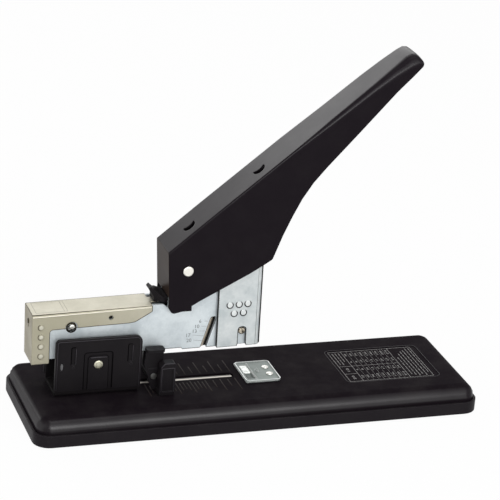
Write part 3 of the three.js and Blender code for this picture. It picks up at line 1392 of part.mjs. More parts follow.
function driverBlade() {
  const shape = outline([
    [-BLADE_HALF, BLADE_BOTTOM],
    [BLADE_HALF, BLADE_BOTTOM],
    [BLADE_HALF, BLOCK_TOP, 1.5],
    [-BLADE_HALF, BLOCK_TOP, 1.5],
  ]);
  const blade = lengthwise(shape, BLADE_BACK, BLADE_FRONT);
  return blade.subtract(barX(BLADE_RIVET + SEAT, BLADE_BACK - 1, BLADE_FRONT + 1, 0, RIVET_W, 10));
}

// The return spring of the handle, between the shelf in the frame and the driver block.
function handleSpring() {
  const bottom = new THREE.Vector3(SPRING_U, 0, BRIDGE_W + BRIDGE_SHEET + SEAT + SPRING_WIRE);
  const top = new THREE.Vector3(SPRING_U, 0, BLOCK_BOTTOM - SEAT - SPRING_WIRE);
  return wire(new Coil(bottom, top, SPRING_RADIUS, SPRING_TURNS), SPRING_WIRE, SPRING_TURNS * 10, 5);
}

function makeDriver() {
  piece(head, "driver_block", driverBlock(), "darkSteel");
  piece(head, "driver_blade", driverBlade(), "steel");
  const rivet = barX(BLADE_RIVET, BLOCK_LEFT, BLADE_FRONT, 0, RIVET_W, 10);
  piece(head, "blade_rivet", rivet, "steel");
  piece(head, "handle_spring", handleSpring(), "steel");
}

// ---------------------------------------------------------------- paper guide

// The stop for the paper edge: a saddle on the base with two arms. Its legs pass each side of
// the rail and hook under the shell.
function guideSlider() {
  const bottom = BASE_TOP + CLEAR;
  const top = bottom + GUIDE_SADDLE;
  const width = 2 * GUIDE_HALF;
  let body = block(GUIDE_LEFT, GUIDE_RIGHT, -width / 2, width / 2, bottom, top);
  [-1, 1].forEach((side) => {
    const y = (a, b) => (side < 0 ? [-b, -a] : [a, b]);
    const face = outline([
      [GUIDE_LEFT + 0.2, bottom],
      [GUIDE_RIGHT, bottom],
      [GUIDE_RIGHT, GUIDE_ARM_TOP - 1.2, 0.8],
      [GUIDE_RIGHT - 1, GUIDE_ARM_TOP, 0.6],
      [GUIDE_LEFT + 2.6, GUIDE_ARM_TOP, 1],
      [GUIDE_LEFT + 0.2, GUIDE_ARM_TOP - 2.6, 1],
    ]);
    const panel = rectangle(GUIDE_LEFT + 2, GUIDE_RIGHT - 1.4, bottom + 2.4, GUIDE_ARM_TOP - 4.4, 0.8);
    body = body.add(across(face, ...y(GUIDE_ARM_INNER, GUIDE_HALF)));
    body = body.subtract(across(panel, ...y(GUIDE_HALF - 1, GUIDE_HALF + 1)));
    const leg = y(RAIL_WIDTH / 2 + CLEAR, SLOT_WIDTH / 2 - CLEAR);
    body = body.add(block(GUIDE_LEFT + 1, GUIDE_RIGHT - 1, ...leg, HOOK_BOTTOM, top));
    const hook = y(RAIL_WIDTH / 2 + CLEAR, SLOT_WIDTH / 2 + 2);
    body = body.add(block(GUIDE_LEFT + 1, GUIDE_RIGHT - 1, ...hook, HOOK_BOTTOM, SHELL_UNDERSIDE - CLEAR));
  });
  const toeRoom = [-LOCK_INNER - LOCK_THICKNESS - CLEAR, -LOCK_INNER + CLEAR];
  body = body.subtract(block(GUIDE_LEFT - 1, GUIDE_LEFT + 4, ...toeRoom, 0, top + 1));
  const lug = outline([
    [GUIDE_LEFT + 2, bottom],
    [GUIDE_LEFT + 2, LOCK_PIN_Z + 3.4, 1],
    [LOCK_PIN_X - 3.2, LOCK_PIN_Z + 3.4, 3],
    [LOCK_PIN_X - 3.2, LOCK_PIN_Z - 4, 2],
    [GUIDE_LEFT - 0.4, bottom, 0.5],
  ]);
  body = body.add(across(lug, -LOCK_INNER + CLEAR, -LUG_INNER, 3));
  return body.subtract(barY(LOCK_PIN_RADIUS + SEAT, -20, -9, LOCK_PIN_X, LOCK_PIN_Z, 12));
}

// The thumb lever that locks the guide; its toe bears on the base.
function guideLockLever() {
  const side = outline([
    [LOCK_PIN_X - 1, BASE_TOP + 1.6, 0.6],
    [LOCK_PIN_X + 2, BASE_TOP + 1.6, 0.8],
    [LOCK_PIN_X + 3.4, LOCK_PIN_Z + 1, 2],
    [LOCK_RIGHT, LOCK_PIN_Z + 5, 1],
    [LOCK_RIGHT, LOCK_TOP - 1],
    [LOCK_LEFT + 1.2, LOCK_TOP - 1],
    [LOCK_LEFT, LOCK_PIN_Z + 8, 2],
    [LOCK_PIN_X - 4.6, LOCK_PIN_Z + 3, 3],
  ]);
  const outer = -LOCK_INNER - LOCK_THICKNESS;
  const plate = across(side, outer, -LOCK_INNER, 3);
  const tab = rectangle(LOCK_LEFT + 0.4, LOCK_RIGHT, -TAB_REACH, -LOCK_INNER + 1.6, 1.6);
  const ledgeZ = LOCK_PIN_Z + 4.4;
  const ledge = block(LOCK_LEFT + 2.6, LOCK_RIGHT - 0.6, outer - 0.8, outer + 0.5, ledgeZ, ledgeZ + 1.2);
  let lever = plate.add(upright(tab, LOCK_TOP - 1.8, LOCK_TOP, 3));
  lever = lever.add(ledge);
  return lever.subtract(barY(LOCK_PIN_RADIUS + CLEAR, -20, 0, LOCK_PIN_X, LOCK_PIN_Z, 14));
}

function guidePin() {
  const outer = LOCK_INNER + LOCK_THICKNESS + SEAT;
  const profile = [
    [0, LUG_INNER],
    [LOCK_PIN_RADIUS, LUG_INNER],
    [LOCK_PIN_RADIUS, outer],
    [LOCK_PIN_RADIUS + 0.7, outer],
    [LOCK_PIN_RADIUS + 0.5, outer + 0.5],
    [0, outer + 0.6],
  ];
  return solid(turned(profile, 14).rotateX(Math.PI / 2).translate(LOCK_PIN_X, 0, LOCK_PIN_Z));
}

function makeGuide() {
  piece(stapler, "guide_slider", guideSlider(), "blackPlastic");
  piece(stapler, "guide_lock_lever", guideLockLever(), "blackPlastic");
  piece(stapler, "guide_pin", guidePin(), "bright");
}

makeBase();
makeHinge();
makeFrame();
makeMagazine();
makeLatch();
makeHandle();
makeDriver();
makeGuide();

export default stapler;
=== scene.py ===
import math

import bpy
from mathutils import Matrix, Vector


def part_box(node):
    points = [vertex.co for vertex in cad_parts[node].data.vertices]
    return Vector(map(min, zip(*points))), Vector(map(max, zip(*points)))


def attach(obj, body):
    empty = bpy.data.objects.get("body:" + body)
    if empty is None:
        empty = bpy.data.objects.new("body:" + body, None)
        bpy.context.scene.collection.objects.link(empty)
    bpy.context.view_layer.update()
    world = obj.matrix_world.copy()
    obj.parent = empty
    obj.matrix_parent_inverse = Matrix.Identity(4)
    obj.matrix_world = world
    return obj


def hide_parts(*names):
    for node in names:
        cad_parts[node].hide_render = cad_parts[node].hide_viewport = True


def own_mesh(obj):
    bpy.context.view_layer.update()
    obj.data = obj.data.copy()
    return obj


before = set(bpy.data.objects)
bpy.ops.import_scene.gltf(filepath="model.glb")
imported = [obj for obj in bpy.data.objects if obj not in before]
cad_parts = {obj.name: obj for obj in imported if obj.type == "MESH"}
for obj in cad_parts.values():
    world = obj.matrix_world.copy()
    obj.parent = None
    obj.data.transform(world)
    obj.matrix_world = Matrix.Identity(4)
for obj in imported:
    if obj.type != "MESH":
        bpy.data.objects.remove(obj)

bpy.context.view_layer.update()
MM = 0.001


# ---------------- base tray
# The lower half of the base: a black ABS moulding with a spark-eroded grain on its outside.
# It is clamped to the pressed shell above it by four screws from below.

def feed(made, inputs):
    """Sets the inputs of a node to values, or joins them to other sockets."""
    for socket, value in inputs.items():
        if isinstance(value, bpy.types.NodeSocket):
            made.id_data.links.new(value, made.inputs[socket])
        else:
            made.inputs[socket].default_value = value


def node(tree, kind, inputs=None, **settings):
    """A node with its settings and its inputs."""
    made = tree.nodes.new(kind)
    for name, value in settings.items():
        setattr(made, name, value)
    feed(made, inputs or {})
    return made


def effect(name, inputs, outputs):
    """An empty node group with named sockets: its tree, its inputs and its output node."""
    tree = bpy.data.node_groups.new(name, "ShaderNodeTree")
    for socket, value in inputs.items():
        made = tree.interface.new_socket(socket, in_out="INPUT", socket_type="NodeSocketFloat")
        made.default_value = value
    for socket, kind in outputs.items():
        tree.interface.new_socket(socket, in_out="OUTPUT", socket_type="NodeSocket" + kind)
    given = tree.nodes.new("NodeGroupInput").outputs
    return tree, given, tree.nodes.new("NodeGroupOutput")


def use(tree, name, **inputs):
    """Places a node group in a material and returns its outputs."""
    return node(tree, "ShaderNodeGroup", inputs, node_tree=bpy.data.node_groups[name]).outputs


def noise(tree, scale, detail=3.0, roughness=0.5, vector=None):
    """Noise in metres of the piece itself, so that it keeps its real size."""
    place = vector or node(tree, "ShaderNodeTexCoord").outputs["Object"]
    inputs = {"Vector": place, "Scale": scale, "Detail": detail, "Roughness": roughness}
    return node(tree, "ShaderNodeTexNoise", inputs).outputs["Fac"]


def spread(tree, value, low, high, to_low=0.0, to_high=1.0):
    """Maps a value between two limits to two others."""
    inputs = {"Value": value, "From Min": low, "From Max": high, "To Min": to_low, "To Max": to_high}
    return node(tree, "ShaderNodeMapRange", inputs).outputs["Result"]


def math_of(tree, operation, first, *others):
    """An operation on one value, or on two and more in turn."""
    for other in others or (0.0,):
        first = node(tree, "ShaderNodeMath", {0: first, 1: other}, operation=operation).outputs[0]
    return first


def product(tree, *values):
    return math_of(tree, "MULTIPLY", *values)


def colours(tree, factor, first, second):
    """Mixes two colours; each is a socket, or its red, green and blue."""
    inputs = {0: factor}
    for place, colour in ((6, first), (7, second)):
        inputs[place] = (*colour, 1) if isinstance(colour, tuple) else colour
    return node(tree, "ShaderNodeMix", inputs, data_type="RGBA").outputs[2]


def axis_of(tree, what, axis):
    """One axis of a place on the piece ("Object") or of the way its face looks ("Normal")."""
    source = node(tree, "ShaderNodeTexCoord").outputs[what]
    return node(tree, "ShaderNodeSeparateXYZ", {0: source}).outputs[axis]


def bumped(tree, strength, distance, height, normal=None):
    """The normal of a fine relief, laid over a softened normal where one is given."""
    inputs = {"Strength": strength, "Distance": distance, "Height": height}
    if normal:
        inputs["Normal"] = normal
    return node(tree, "ShaderNodeBump", inputs).outputs["Normal"]


def rounded_edge():
    """Softens the normal round an edge, and marks where the edges are."""
    outputs = {"Normal": "Vector", "Edge": "Float"}
    tree, given, result = effect("rounded_edge", {"Radius": 0.0004}, outputs)
    soft = node(tree, "ShaderNodeBevel", {"Radius": given["Radius"]}, samples=6).outputs["Normal"]
    plain = node(tree, "ShaderNodeNewGeometry").outputs["Normal"]
    turn = node(tree, "ShaderNodeVectorMath", {0: soft, 1: plain}, operation="DOT_PRODUCT")
    feed(result, {"Normal": soft, "Edge": spread(tree, turn.outputs["Value"], 0.995, 0.8)})


def skin(name, broad, fine, share, patches):
    """Broad and fine relief, each a scale and a detail, and slow patches where it is shinier."""
    tree, given, result = effect(name, {"Scale": 1.0}, {"Height": "Float", "Patch": "Float"})
    waves = noise(tree, product(tree, given["Scale"], broad[0]), broad[1])
    pits = noise(tree, product(tree, given["Scale"], fine[0]), fine[1])
    feed(result, {
        "Height": math_of(tree, "ADD", waves, product(tree, pits, share)),
        "Patch": spread(tree, noise(tree, *patches), 0.35, 0.65),
    })


def dust():
    """Specks and thin haze of dust, thickest on faces that look up."""
    tree, given, result = effect("dust", {"Amount": 0.3}, {"Mask": "Float"})
    facing = spread(tree, axis_of(tree, "Normal", "Z"), 0.2, 1.0, 0.25, 1.0)
    haze = spread(tree, noise(tree, 60.0, 6, 0.65), 0.42, 0.75)
    specks = spread(tree, noise(tree, 1500.0, 2), 0.72, 0.78)
    both = math_of(tree, "ADD", product(tree, haze, 0.35), specks)
    feed(result, {"Mask": product(tree, both, facing, given["Amount"])})


rounded_edge()
skin("moulded_grain", (900, 2), (2600, 3), 0.6, (35.0, 4))
dust()


def material(name):
    made = bpy.data.materials.new(name)
    made.use_nodes = True
    return made, made.node_tree, made.node_tree.nodes["Principled BSDF"]


def black_greyed_at_edges(name, relief, edge_share, dusted, uneven, colour, edge_wear_and_highlight, gloss, shine, radius):
    """A black surface with a fine relief, greyer on its edges as wear and as a painted highlight, with a
    trace of dust.
    """
    made, tree, shader = material(name)
    surface, strength, depth = relief
    edge = use(tree, "rounded_edge", Radius=radius)
    marks = use(tree, surface, Scale=1.0)
    grey = colours(tree, product(tree, edge["Edge"], edge_share), colour, edge_wear_and_highlight)
    feed(shader, {
        "Base Color": colours(tree, use(tree, "dust", Amount=dusted)["Mask"], grey, (0.35, 0.33, 0.31)),
        "Roughness": spread(tree, marks["Patch"], 0, 1, gloss, gloss + uneven),
        "Normal": bumped(tree, strength, depth, marks["Height"], edge["Normal"]),
        "Specular IOR Level": shine,
    })
    return made


def black_moulding(name, *looks):
    """Black ABS; its looks are colour, edge colour for wear and painted highlight, gloss, shine and radius of
    edge.
    """
    return black_greyed_at_edges(name, ("moulded_grain", 0.22, 0.00006), 0.8, 0.10, 0.1, *looks)


def smooth_faces():
    """Turns the facets of a machine-made mesh into smooth faces that keep their sharp edges."""
    tree = bpy.data.node_groups.new("smooth_faces", "GeometryNodeTree")
    for way in ("INPUT", "OUTPUT"):
        tree.interface.new_socket("Geometry", in_out=way, socket_type="NodeSocketGeometry")
    shape = tree.nodes.new("NodeGroupInput").outputs[0]
    bare = node(tree, "GeometryNodeRemoveAttribute", {"Geometry": shape, "Name": "custom_normal"})
    merged = node(tree, "GeometryNodeMergeByDistance", {"Geometry": bare.outputs[0], "Distance": 2e-6})
    everywhere = {"Geometry": merged.outputs[0], "Shade Smooth": True}
    smooth = node(tree, "GeometryNodeSetShadeSmooth", everywhere, domain="FACE")
    angle = node(tree, "GeometryNodeInputMeshEdgeAngle").outputs["Unsigned Angle"]
    sharp = node(tree, "FunctionNodeCompare", {0: angle, 1: math.radians(38)}, operation="GREATER_THAN")
    edges = {"Geometry": smooth.outputs[0], "Selection": sharp.outputs[0], "Shade Smooth": False}
    creased = node(tree, "GeometryNodeSetShadeSmooth", edges, domain="EDGE")
    feed(tree.nodes.new("NodeGroupOutput"), {0: creased.outputs[0]})
    return tree


SMOOTH_FACES = smooth_faces()


def finish_nodes(finish, *names):
    """Gives CAD nodes their finish and smooths their facets."""
    for name in names:
        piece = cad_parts[name]
        piece.modifiers.new("smooth_faces", "NODES").node_group = SMOOTH_FACES
        weighted = piece.modifiers.new("flat_faces_stay_flat", "WEIGHTED_NORMAL")
        weighted.keep_sharp = True
        weighted.weight = 100
        piece.material_slots[0].material = finish


tray_plastic = black_moulding("tray_plastic", (0.010, 0.0078, 0.010), (0.03, 0.027, 0.03), 0.45, 0.1, 0.0006)
finish_nodes(tray_plastic, "base_tray")


# ---------------- rubber feet and screws
# Four turned rubber feet are pressed into recesses of the tray. Beside them four pan-head
# screws with crossed recesses hold the tray to posts under the shell.

def rubber_finish():
    """Matt black rubber, greyed by dust."""
    made, tree, shader = material("rubber")
    grain = use(tree, "moulded_grain", Scale=0.6)
    dusted = use(tree, "dust", Amount=0.3)["Mask"]
    feed(shader, {
        "Base Color": colours(tree, dusted, (0.014, 0.014, 0.014), (0.2, 0.19, 0.18)),
        "Roughness": spread(tree, grain["Patch"], 0, 1, 0.75, 0.9),
        "Normal": bumped(tree, 0.4, 0.0001, grain["Height"]),
    })
    return made


def drawn_out(tree, length):
    """Places on the piece, stretched along it so that noise there turns into lines."""
    place = node(tree, "ShaderNodeTexCoord").outputs["Object"]
    along = node(tree, "ShaderNodeCombineXYZ", {0: length, 1: 1.0, 2: 1.0}).outputs[0]
    return node(tree, "ShaderNodeVectorMath", {0: place, 1: along}, operation="MULTIPLY").outputs[0]


def turned_streaks():
    """Drawing and rolling marks of bright metal: long fine lines with soft stains."""
    outputs = {"Line": "Float", "Stain": "Float"}
    tree, given, result = effect("turned_streaks", {"Length": 0.04}, outputs)
    lines = noise(tree, 4200.0, 3, 0.6, drawn_out(tree, given["Length"]))
    stains = noise(tree, 130.0, 5, 0.6)
    feed(result, {"Line": spread(tree, lines, 0.3, 0.7), "Stain": spread(tree, stains, 0.35, 0.7)})


turned_streaks()


def bright_metal(name, colour, stained, gloss, radius=0.0003, length=0.04):
    """Plain or plated steel: fine lines along it, soft stains and edges that catch the light."""
    made, tree, shader = material(name)
    marks = use(tree, "turned_streaks", Length=length)
    edge = use(tree, "rounded_edge", Radius=radius)
    feed(shader, {
        "Base Color": colours(tree, product(tree, marks["Stain"], 0.55), colour, stained),
        "Roughness": math_of(tree, "ADD", product(tree, marks["Line"], 0.12), gloss),
        "Normal": bumped(tree, 0.12, 0.00002, marks["Line"], edge["Normal"]),
        "Metallic": 1.0,
    })
    return made


CORNERS = ["left_near", "right_near", "left_far", "right_far"]
plain_steel = bright_metal("plain_steel", (0.56, 0.56, 0.55), (0.36, 0.35, 0.33), 0.3)
finish_nodes(rubber_finish(), *["foot_" + corner for corner in CORNERS])
finish_nodes(plain_steel, *["tray_screw_" + corner for corner in CORNERS])


# ---------------- base shell
# The upper half of the base: steel sheet pressed to a rounded block and stove enamelled in
# satin black. It has a slot for the paper guide, a scale of low ridges and a shallow panel.

def rubbed_bands():
    """Where hands polish a pressing: the steep of its shoulders, and its back further along."""
    outputs = {"Shoulder": "Float", "Grip": "Float"}
    tree, given, result = effect("rubbed_bands", {"Start": 0.0, "End": 0.1}, outputs)
    up, side, end = [axis_of(tree, "Normal", axis) for axis in "ZYX"]
    patchy = spread(tree, noise(tree, 28.0, 4, 0.6), 0.25, 0.7, 0.75, 1.0)

    near = spread(tree, side, -0.1, -0.5, 0.6, 1.0)
    turned = math_of(tree, "ABSOLUTE", end)
    straight = spread(tree, turned, 0.04, 0.25, 1.0, 0.3)
    round_end = spread(tree, turned, 0.45, 0.75, 0, 0.8)
    steep = product(tree, spread(tree, up, 0.86, 0.6), spread(tree, up, 0.02, 0.14))
    shoulder = product(tree, steep, near, math_of(tree, "MAXIMUM", straight, round_end), patchy)

    sideways = math_of(tree, "ABSOLUTE", side)
    bend = product(tree, spread(tree, sideways, 0.7, 0.86), spread(tree, sideways, 0.985, 0.93), 0.6)
    palm = math_of(tree, "MAXIMUM", spread(tree, sideways, 0.4, 0.1), bend)
    upper = spread(tree, up, 0.12, 0.3)
    leftward = spread(tree, end, -0.3, 0.2, 1.0, 0.6)
    length = spread(tree, axis_of(tree, "Object", "X"), given["Start"], given["End"])
    grip = product(tree, palm, upper, leftward, length, patchy)
    feed(result, {"Shoulder": shoulder, "Grip": grip})


skin("orange_peel", (650, 2), (2800, 2), 0.35, (22.0, 5, 0.6))
rubbed_bands()


def black_enamel(name, *looks):
    """Black enamel sprayed on steel, with a faint orange peel; its looks are as for a moulding."""
    return black_greyed_at_edges(name, ("orange_peel", 0.14, 0.00005), 0.4, 0.08, 0.06, *looks)


def polished_by_hands(finish, band, share, **stretch):
    """Adds the gloss that hands leave on one of the rubbed bands of a pressing."""
    tree = finish.node_tree
    gloss = product(tree, use(tree, "rubbed_bands", **stretch)[band], share)
    feed(tree.nodes["Principled BSDF"], {"Coat Weight": gloss, "Coat Roughness": 0.3})


base_enamel = black_enamel("base_enamel", (0.0095, 0.007, 0.0092), (0.014, 0.0115, 0.0135), 0.5, 0.01, 0.0006)
polished_by_hands(base_enamel, "Shoulder", 0.85)
finish_nodes(base_enamel, "base_shell")

shell_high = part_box("base_shell")[1]
BASE_TOP = shell_high.z


def put_in_scene(name, data):
    made = bpy.data.objects.new(name, data)
    bpy.context.scene.collection.objects.link(made)
    return made


class Heap:
    """Gathers the vertices and faces of many small shapes into one piece."""

    def __init__(self):
        self.vertices = []
        self.faces = []

    def add(self, vertices, faces):
        start = len(self.vertices)
        self.vertices += [Vector(v) for v in vertices]
        self.faces += [tuple(start + i for i in face) for face in faces]

    def rings(self, rings, closed_ends=True):
        """Skins equal rings of points, and closes both ends."""
        count = len(rings[0])
        faces = []
        for k in range(len(rings) - 1):
            for i in range(count):
                j = (i + 1) % count
                faces.append((k * count + i, k * count + j, (k + 1) * count + j, (k + 1) * count + i))
        if closed_ends:
            faces.append(tuple(reversed(range(count))))
            faces.append(tuple((len(rings) - 1) * count + i for i in range(count)))
        self.add([p for ring in rings for p in ring], faces)

    def piece(self, name, finish, body, smooth=False):
        """The heap as a mesh piece with its finish, riding on a body."""
        mesh = bpy.data.meshes.new(name)
        mesh.from_pydata([tuple(v) for v in self.vertices], [], self.faces)
        mesh.validate()
        mesh.polygons.foreach_set("use_smooth", [smooth] * len(mesh.polygons))
        mesh.materials.append(finish)
        piece = put_in_scene(name, mesh)
        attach(piece, body)
        return piece


# The scale: low ridges every 5 mm on both sides of the slot, long and short in turn, and
# another line between them on the near side.
SCALE_STEP = 5 * MM
SCALE_LINES = 13
SCALE_START = 10 * MM
BETWEEN_START = 7.5 * MM
BETWEEN_FROM = 5
LONG_LINE = 4.6 * MM, 21.6 * MM
SHORT_LINE = 5.6 * MM, 16 * MM
BETWEEN_LINE = 6.5 * MM, 17.5 * MM
RIDGE_HALF = 0.42 * MM
RIDGE_HEIGHT = 0.22 * MM
RIDGE_SUNK = 0.05 * MM
RIDGE_TAPER = 0.5 * MM
TAPERED_SIZE = 0.3
block_low, block_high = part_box("anvil_block")
staple_line = (block_low.x + block_high.x) / 2


def ridge(heap, x, start, end):
    """A half-round ridge across the base, tapered into the surface at both ends."""
    side = math.copysign(1, end - start)
    taper = side * RIDGE_TAPER
    rings = []
    for y, size in [(start, TAPERED_SIZE), (start + taper, 1), (end - taper, 1), (end, TAPERED_SIZE)]:
        ring = []
        for step in range(7):
            angle = math.pi * step / 6
            across = x - RIDGE_HALF * size * math.cos(angle)
            ring.append((across, y, BASE_TOP - RIDGE_SUNK + RIDGE_HEIGHT * size * math.sin(angle)))
        rings.append(ring)
    heap.rings(rings if side < 0 else rings[::-1])


ridges = Heap()
for index in range(SCALE_LINES):
    inner, outer = SHORT_LINE if index % 2 else LONG_LINE
    for side in (-1, 1):
        ridge(ridges, staple_line - SCALE_START - index * SCALE_STEP, side * inner, side * outer)
    if index >= BETWEEN_FROM:
        inner, outer = BETWEEN_LINE
        ridge(ridges, staple_line - BETWEEN_START - index * SCALE_STEP, -inner, -outer)
# The ridges are a lighter black than the base: a painted highlight on their lit sides.
scale_highlight_enamel = black_enamel("scale_highlight_enamel", (0.024, 0.018, 0.017), (0.034, 0.028, 0.026), 0.45, 0.05, 0.0002)
ridges.piece("guide_scale", scale_highlight_enamel, "base", smooth=True)


# ---------------- chart on the base
# A chart printed in thin grey lines on the shallow panel at the right end of the base. It
# holds plain numbers only: leg lengths over the number of sheets that they hold.

def print_finish(name, colour, gaps):
    """Screen-printed ink: thin, slightly broken and matt."""
    made, tree, shader = material(name)
    broken = spread(tree, noise(tree, 2500.0, 3, 0.6), 0.4, 0.62)
    rough = spread(tree, broken, 0, 1, 0.45, 0.65)
    feed(shader, {"Base Color": colours(tree, broken, gaps, colour), "Roughness": rough})
    return made


TRAY_LIP = 1.9 * MM
PANEL_MARGIN = 19.5 * MM
PANEL_LENGTH = 65 * MM
PANEL_RIGHT = shell_high.x + TRAY_LIP - PANEL_MARGIN
PANEL_LEFT = PANEL_RIGHT - PANEL_LENGTH
PANEL_HALF = 24 * MM
PANEL_DEPTH = 0.4 * MM
INK_LIFT = 0.04 * MM
INK_HALF = 0.02 * MM
INK_Z = BASE_TOP - PANEL_DEPTH + INK_LIFT
UP = Vector((0, 0, 1))


def flat_line(heap, start, end, width, normal):
    """A printed line: a thin strip between two points, lying across a normal."""
    start, end = Vector(start), Vector(end)
    side = (end - start).cross(normal).normalized() * width / 2
    lift = Vector(normal).normalized() * INK_HALF
    low = [start - side, end - side, end + side, start + side]
    corners = [p - lift for p in low] + [p + lift for p in low]
    faces = [(4, 5, 6, 7), (3, 2, 1, 0), (0, 1, 5, 4), (1, 2, 6, 5), (2, 3, 7, 6), (3, 0, 4, 7)]
    heap.add(corners, faces)


def number_mesh(heap, text, size, place):
    """A plain number as a flat mesh; place is the matrix of its middle."""
    curve = bpy.data.curves.new("number", "FONT")
    curve.body = text
    curve.size = size
    curve.align_x = "CENTER"
    curve.align_y = "CENTER"
    curve.resolution_u = 3
    curve.extrude = 0.015 * MM
    holder = put_in_scene("number", curve)
    bpy.context.view_layer.update()
    mesh = bpy.data.meshes.new_from_object(holder.evaluated_get(bpy.context.evaluated_depsgraph_get()))
    heap.add([place @ v.co for v in mesh.vertices], [tuple(p.vertices) for p in mesh.polygons])
    bpy.data.objects.remove(holder)
    bpy.data.curves.remove(curve)
    bpy.data.meshes.remove(mesh)


chart = Heap()
grid_left, grid_right = PANEL_LEFT + 2.5 * MM, PANEL_RIGHT - 4.3 * MM
grid_near, grid_far = -PANEL_HALF + 2 * MM, PANEL_HALF - 2 * MM
LEG_SIZES = "6 8 10 13 15 17 20 23 24".split()
SHEETS = "30 50 70 100 120 140 170 200 210".split()
FRAME_WIDTH, RULE_WIDTH, DIVIDER_WIDTH, BAR_WIDTH = 0.26 * MM, 0.22 * MM, 0.11 * MM, 0.36 * MM
DASH_GAP, SHORTEST_DASH = 0.8 * MM, 2 * MM
first_column = grid_left + 9 * MM
column = 3.65 * MM
table_right = first_column + column * len(LEG_SIZES)


def ruled_line(x0, y0, x1, y1, width):
    flat_line(chart, (x0, y0, INK_Z), (x1, y1, INK_Z), width, UP)


def chart_number(x, y, text, size):
    """A number that reads from the right end of the base, wide and low."""
    turn = Matrix.Rotation(math.radians(90), 4, "Z") @ Matrix.Diagonal((1.35, 0.58, 1, 1))
    number_mesh(chart, text, size, Matrix.Translation((x, y, INK_Z)) @ turn)


def broken_line(x, start, end, dashes):
    """A ruled line across the chart, broken into dashes of unlike length."""
    y = start
    for step in range(dashes):
        length = (3.1 + 1.5 * ((step * 7 + dashes * 5) % 4) / 3) * MM
        ruled_line(x, y, x, max(end, y - length), BAR_WIDTH)
        y -= length + DASH_GAP
        if y - SHORTEST_DASH < end:
            break


for y in (grid_near, grid_far):
    ruled_line(grid_left, y, grid_right, y, FRAME_WIDTH)
ruled_line(grid_left, 0, table_right, 0, RULE_WIDTH)
ruled_line(grid_left, -11 * MM, first_column, -11 * MM, RULE_WIDTH)
for x in [grid_left, first_column, table_right, grid_right]:
    ruled_line(x, grid_near, x, grid_far, FRAME_WIDTH)
for index, (leg, sheets) in enumerate(zip(LEG_SIZES, SHEETS)):
    x = first_column + column * (index + 0.5)
    if index:
        divider = x - column / 2
        ruled_line(divider, grid_near, divider, grid_far, DIVIDER_WIDTH)
    for y, text in [(16.5, sheets), (6, leg), (-5.5, leg), (-16, sheets)]:
        chart_number(x, y * MM, text, 3.2 * MM)
for y, text in [(-5.5, "10"), (-16.5, "20")]:
    chart_number(grid_left + 4.5 * MM, y * MM, text, 4.2 * MM)
for index, end in enumerate((3, 2, 6)):
    broken_line(grid_left + (2.3 + 2.2 * index) * MM, grid_far - 2 * MM, end * MM, 7 - index)
for index, start in enumerate((8, 13, 16, 18, 20, 20)):
    x = table_right + (2.7 + 2.4 * index) * MM
    broken_line(x, start * MM, grid_near + 1.5 * MM, 9 - index % 2)
grey_ink = print_finish("grey_ink", (0.44, 0.43, 0.42), (0.19, 0.185, 0.18))
chart.piece("chart_print", grey_ink, "base")


def angles(count):
    """Equal steps all the way round."""
    return [math.tau * step / count for step in range(count)]


# The rim of the panel, where the sheet steps down, in a lighter black as a painted highlight.
RIM_CORNER = 4 * MM
RIM_HALF = 0.2 * MM
RIM_HEIGHT = 0.12 * MM
RIM_SUNK = 0.02 * MM
rim_points = []
for x, y, quarter in [(PANEL_RIGHT, PANEL_HALF, 0), (PANEL_LEFT, PANEL_HALF, 1),
                      (PANEL_LEFT, -PANEL_HALF, 2), (PANEL_RIGHT, -PANEL_HALF, 3)]:
    inwards = RIM_CORNER if x == PANEL_LEFT else -RIM_CORNER
    centre = Vector((x + inwards, y - math.copysign(RIM_CORNER, y), 0))
    for step in range(7):
        angle = math.pi / 2 * (quarter + step / 6)
        rim_points.append(centre + RIM_CORNER * Vector((math.cos(angle), math.sin(angle), 0)))
rim_rings = []
for point, after in zip(rim_points, rim_points[1:] + rim_points[:1]):
    outward = (after - point).cross(UP).normalized()
    ring = []
    for angle in angles(6):
        height = BASE_TOP - RIM_SUNK + RIM_HEIGHT * math.sin(angle)
        ring.append(point + outward * math.cos(angle) * RIM_HALF + Vector((0, 0, height)))
    rim_rings.append(ring)
panel_rim = Heap()
panel_rim.rings(rim_rings + rim_rings[:1], closed_ends=False)
rim_highlight_enamel = black_enamel("rim_highlight_enamel", (0.045, 0.042, 0.045), (0.055, 0.05, 0.055), 0.4, 0.2, 0.0002)
panel_rim.piece("chart_panel_rim", rim_highlight_enamel, "base", smooth=True)


# ---------------- guide rail
# A narrow bright steel strip under the slot, coloured dark as painted shade but for one painted
# highlight along its middle. The legs of the paper guide straddle it, and sliding the guide has
# drawn fine lines along it.

HIGHLIGHT_LINE = -0.4 * MM
HIGHLIGHT_HALF = 0.6 * MM


def lay_over(finish, share, tone):
    """Lays another tone over a finish, as far as a mask says."""
    tree = finish.node_tree
    base = tree.nodes["Principled BSDF"].inputs["Base Color"]
    tree.links.new(colours(tree, share, base.links[0].from_socket, tone), base)


def rail_with_painted_highlight():
    """Steel coloured dark as painted shade, with one bright line where the guide's leg rubs it: wear and a
    painted highlight.
    """
    made = bright_metal("rail_steel", (0.16, 0.15, 0.14), (0.06, 0.056, 0.052), 0.34, 0.0003, 0.02)
    tree = made.node_tree
    off = math_of(tree, "SUBTRACT", axis_of(tree, "Object", "Y"), HIGHLIGHT_LINE)
    line = spread(tree, math_of(tree, "ABSOLUTE", off), HIGHLIGHT_HALF * 1.3, HIGHLIGHT_HALF * 0.7)
    lay_over(made, line, (0.54, 0.51, 0.46))
    return made


finish_nodes(rail_with_painted_highlight(), "guide_rail")


# ---------------- anvil
# A zinc-plated plate riveted to the base, with a turned-up rim, round the hardened block that
# folds the staple legs. The two rivets are bright and domed.

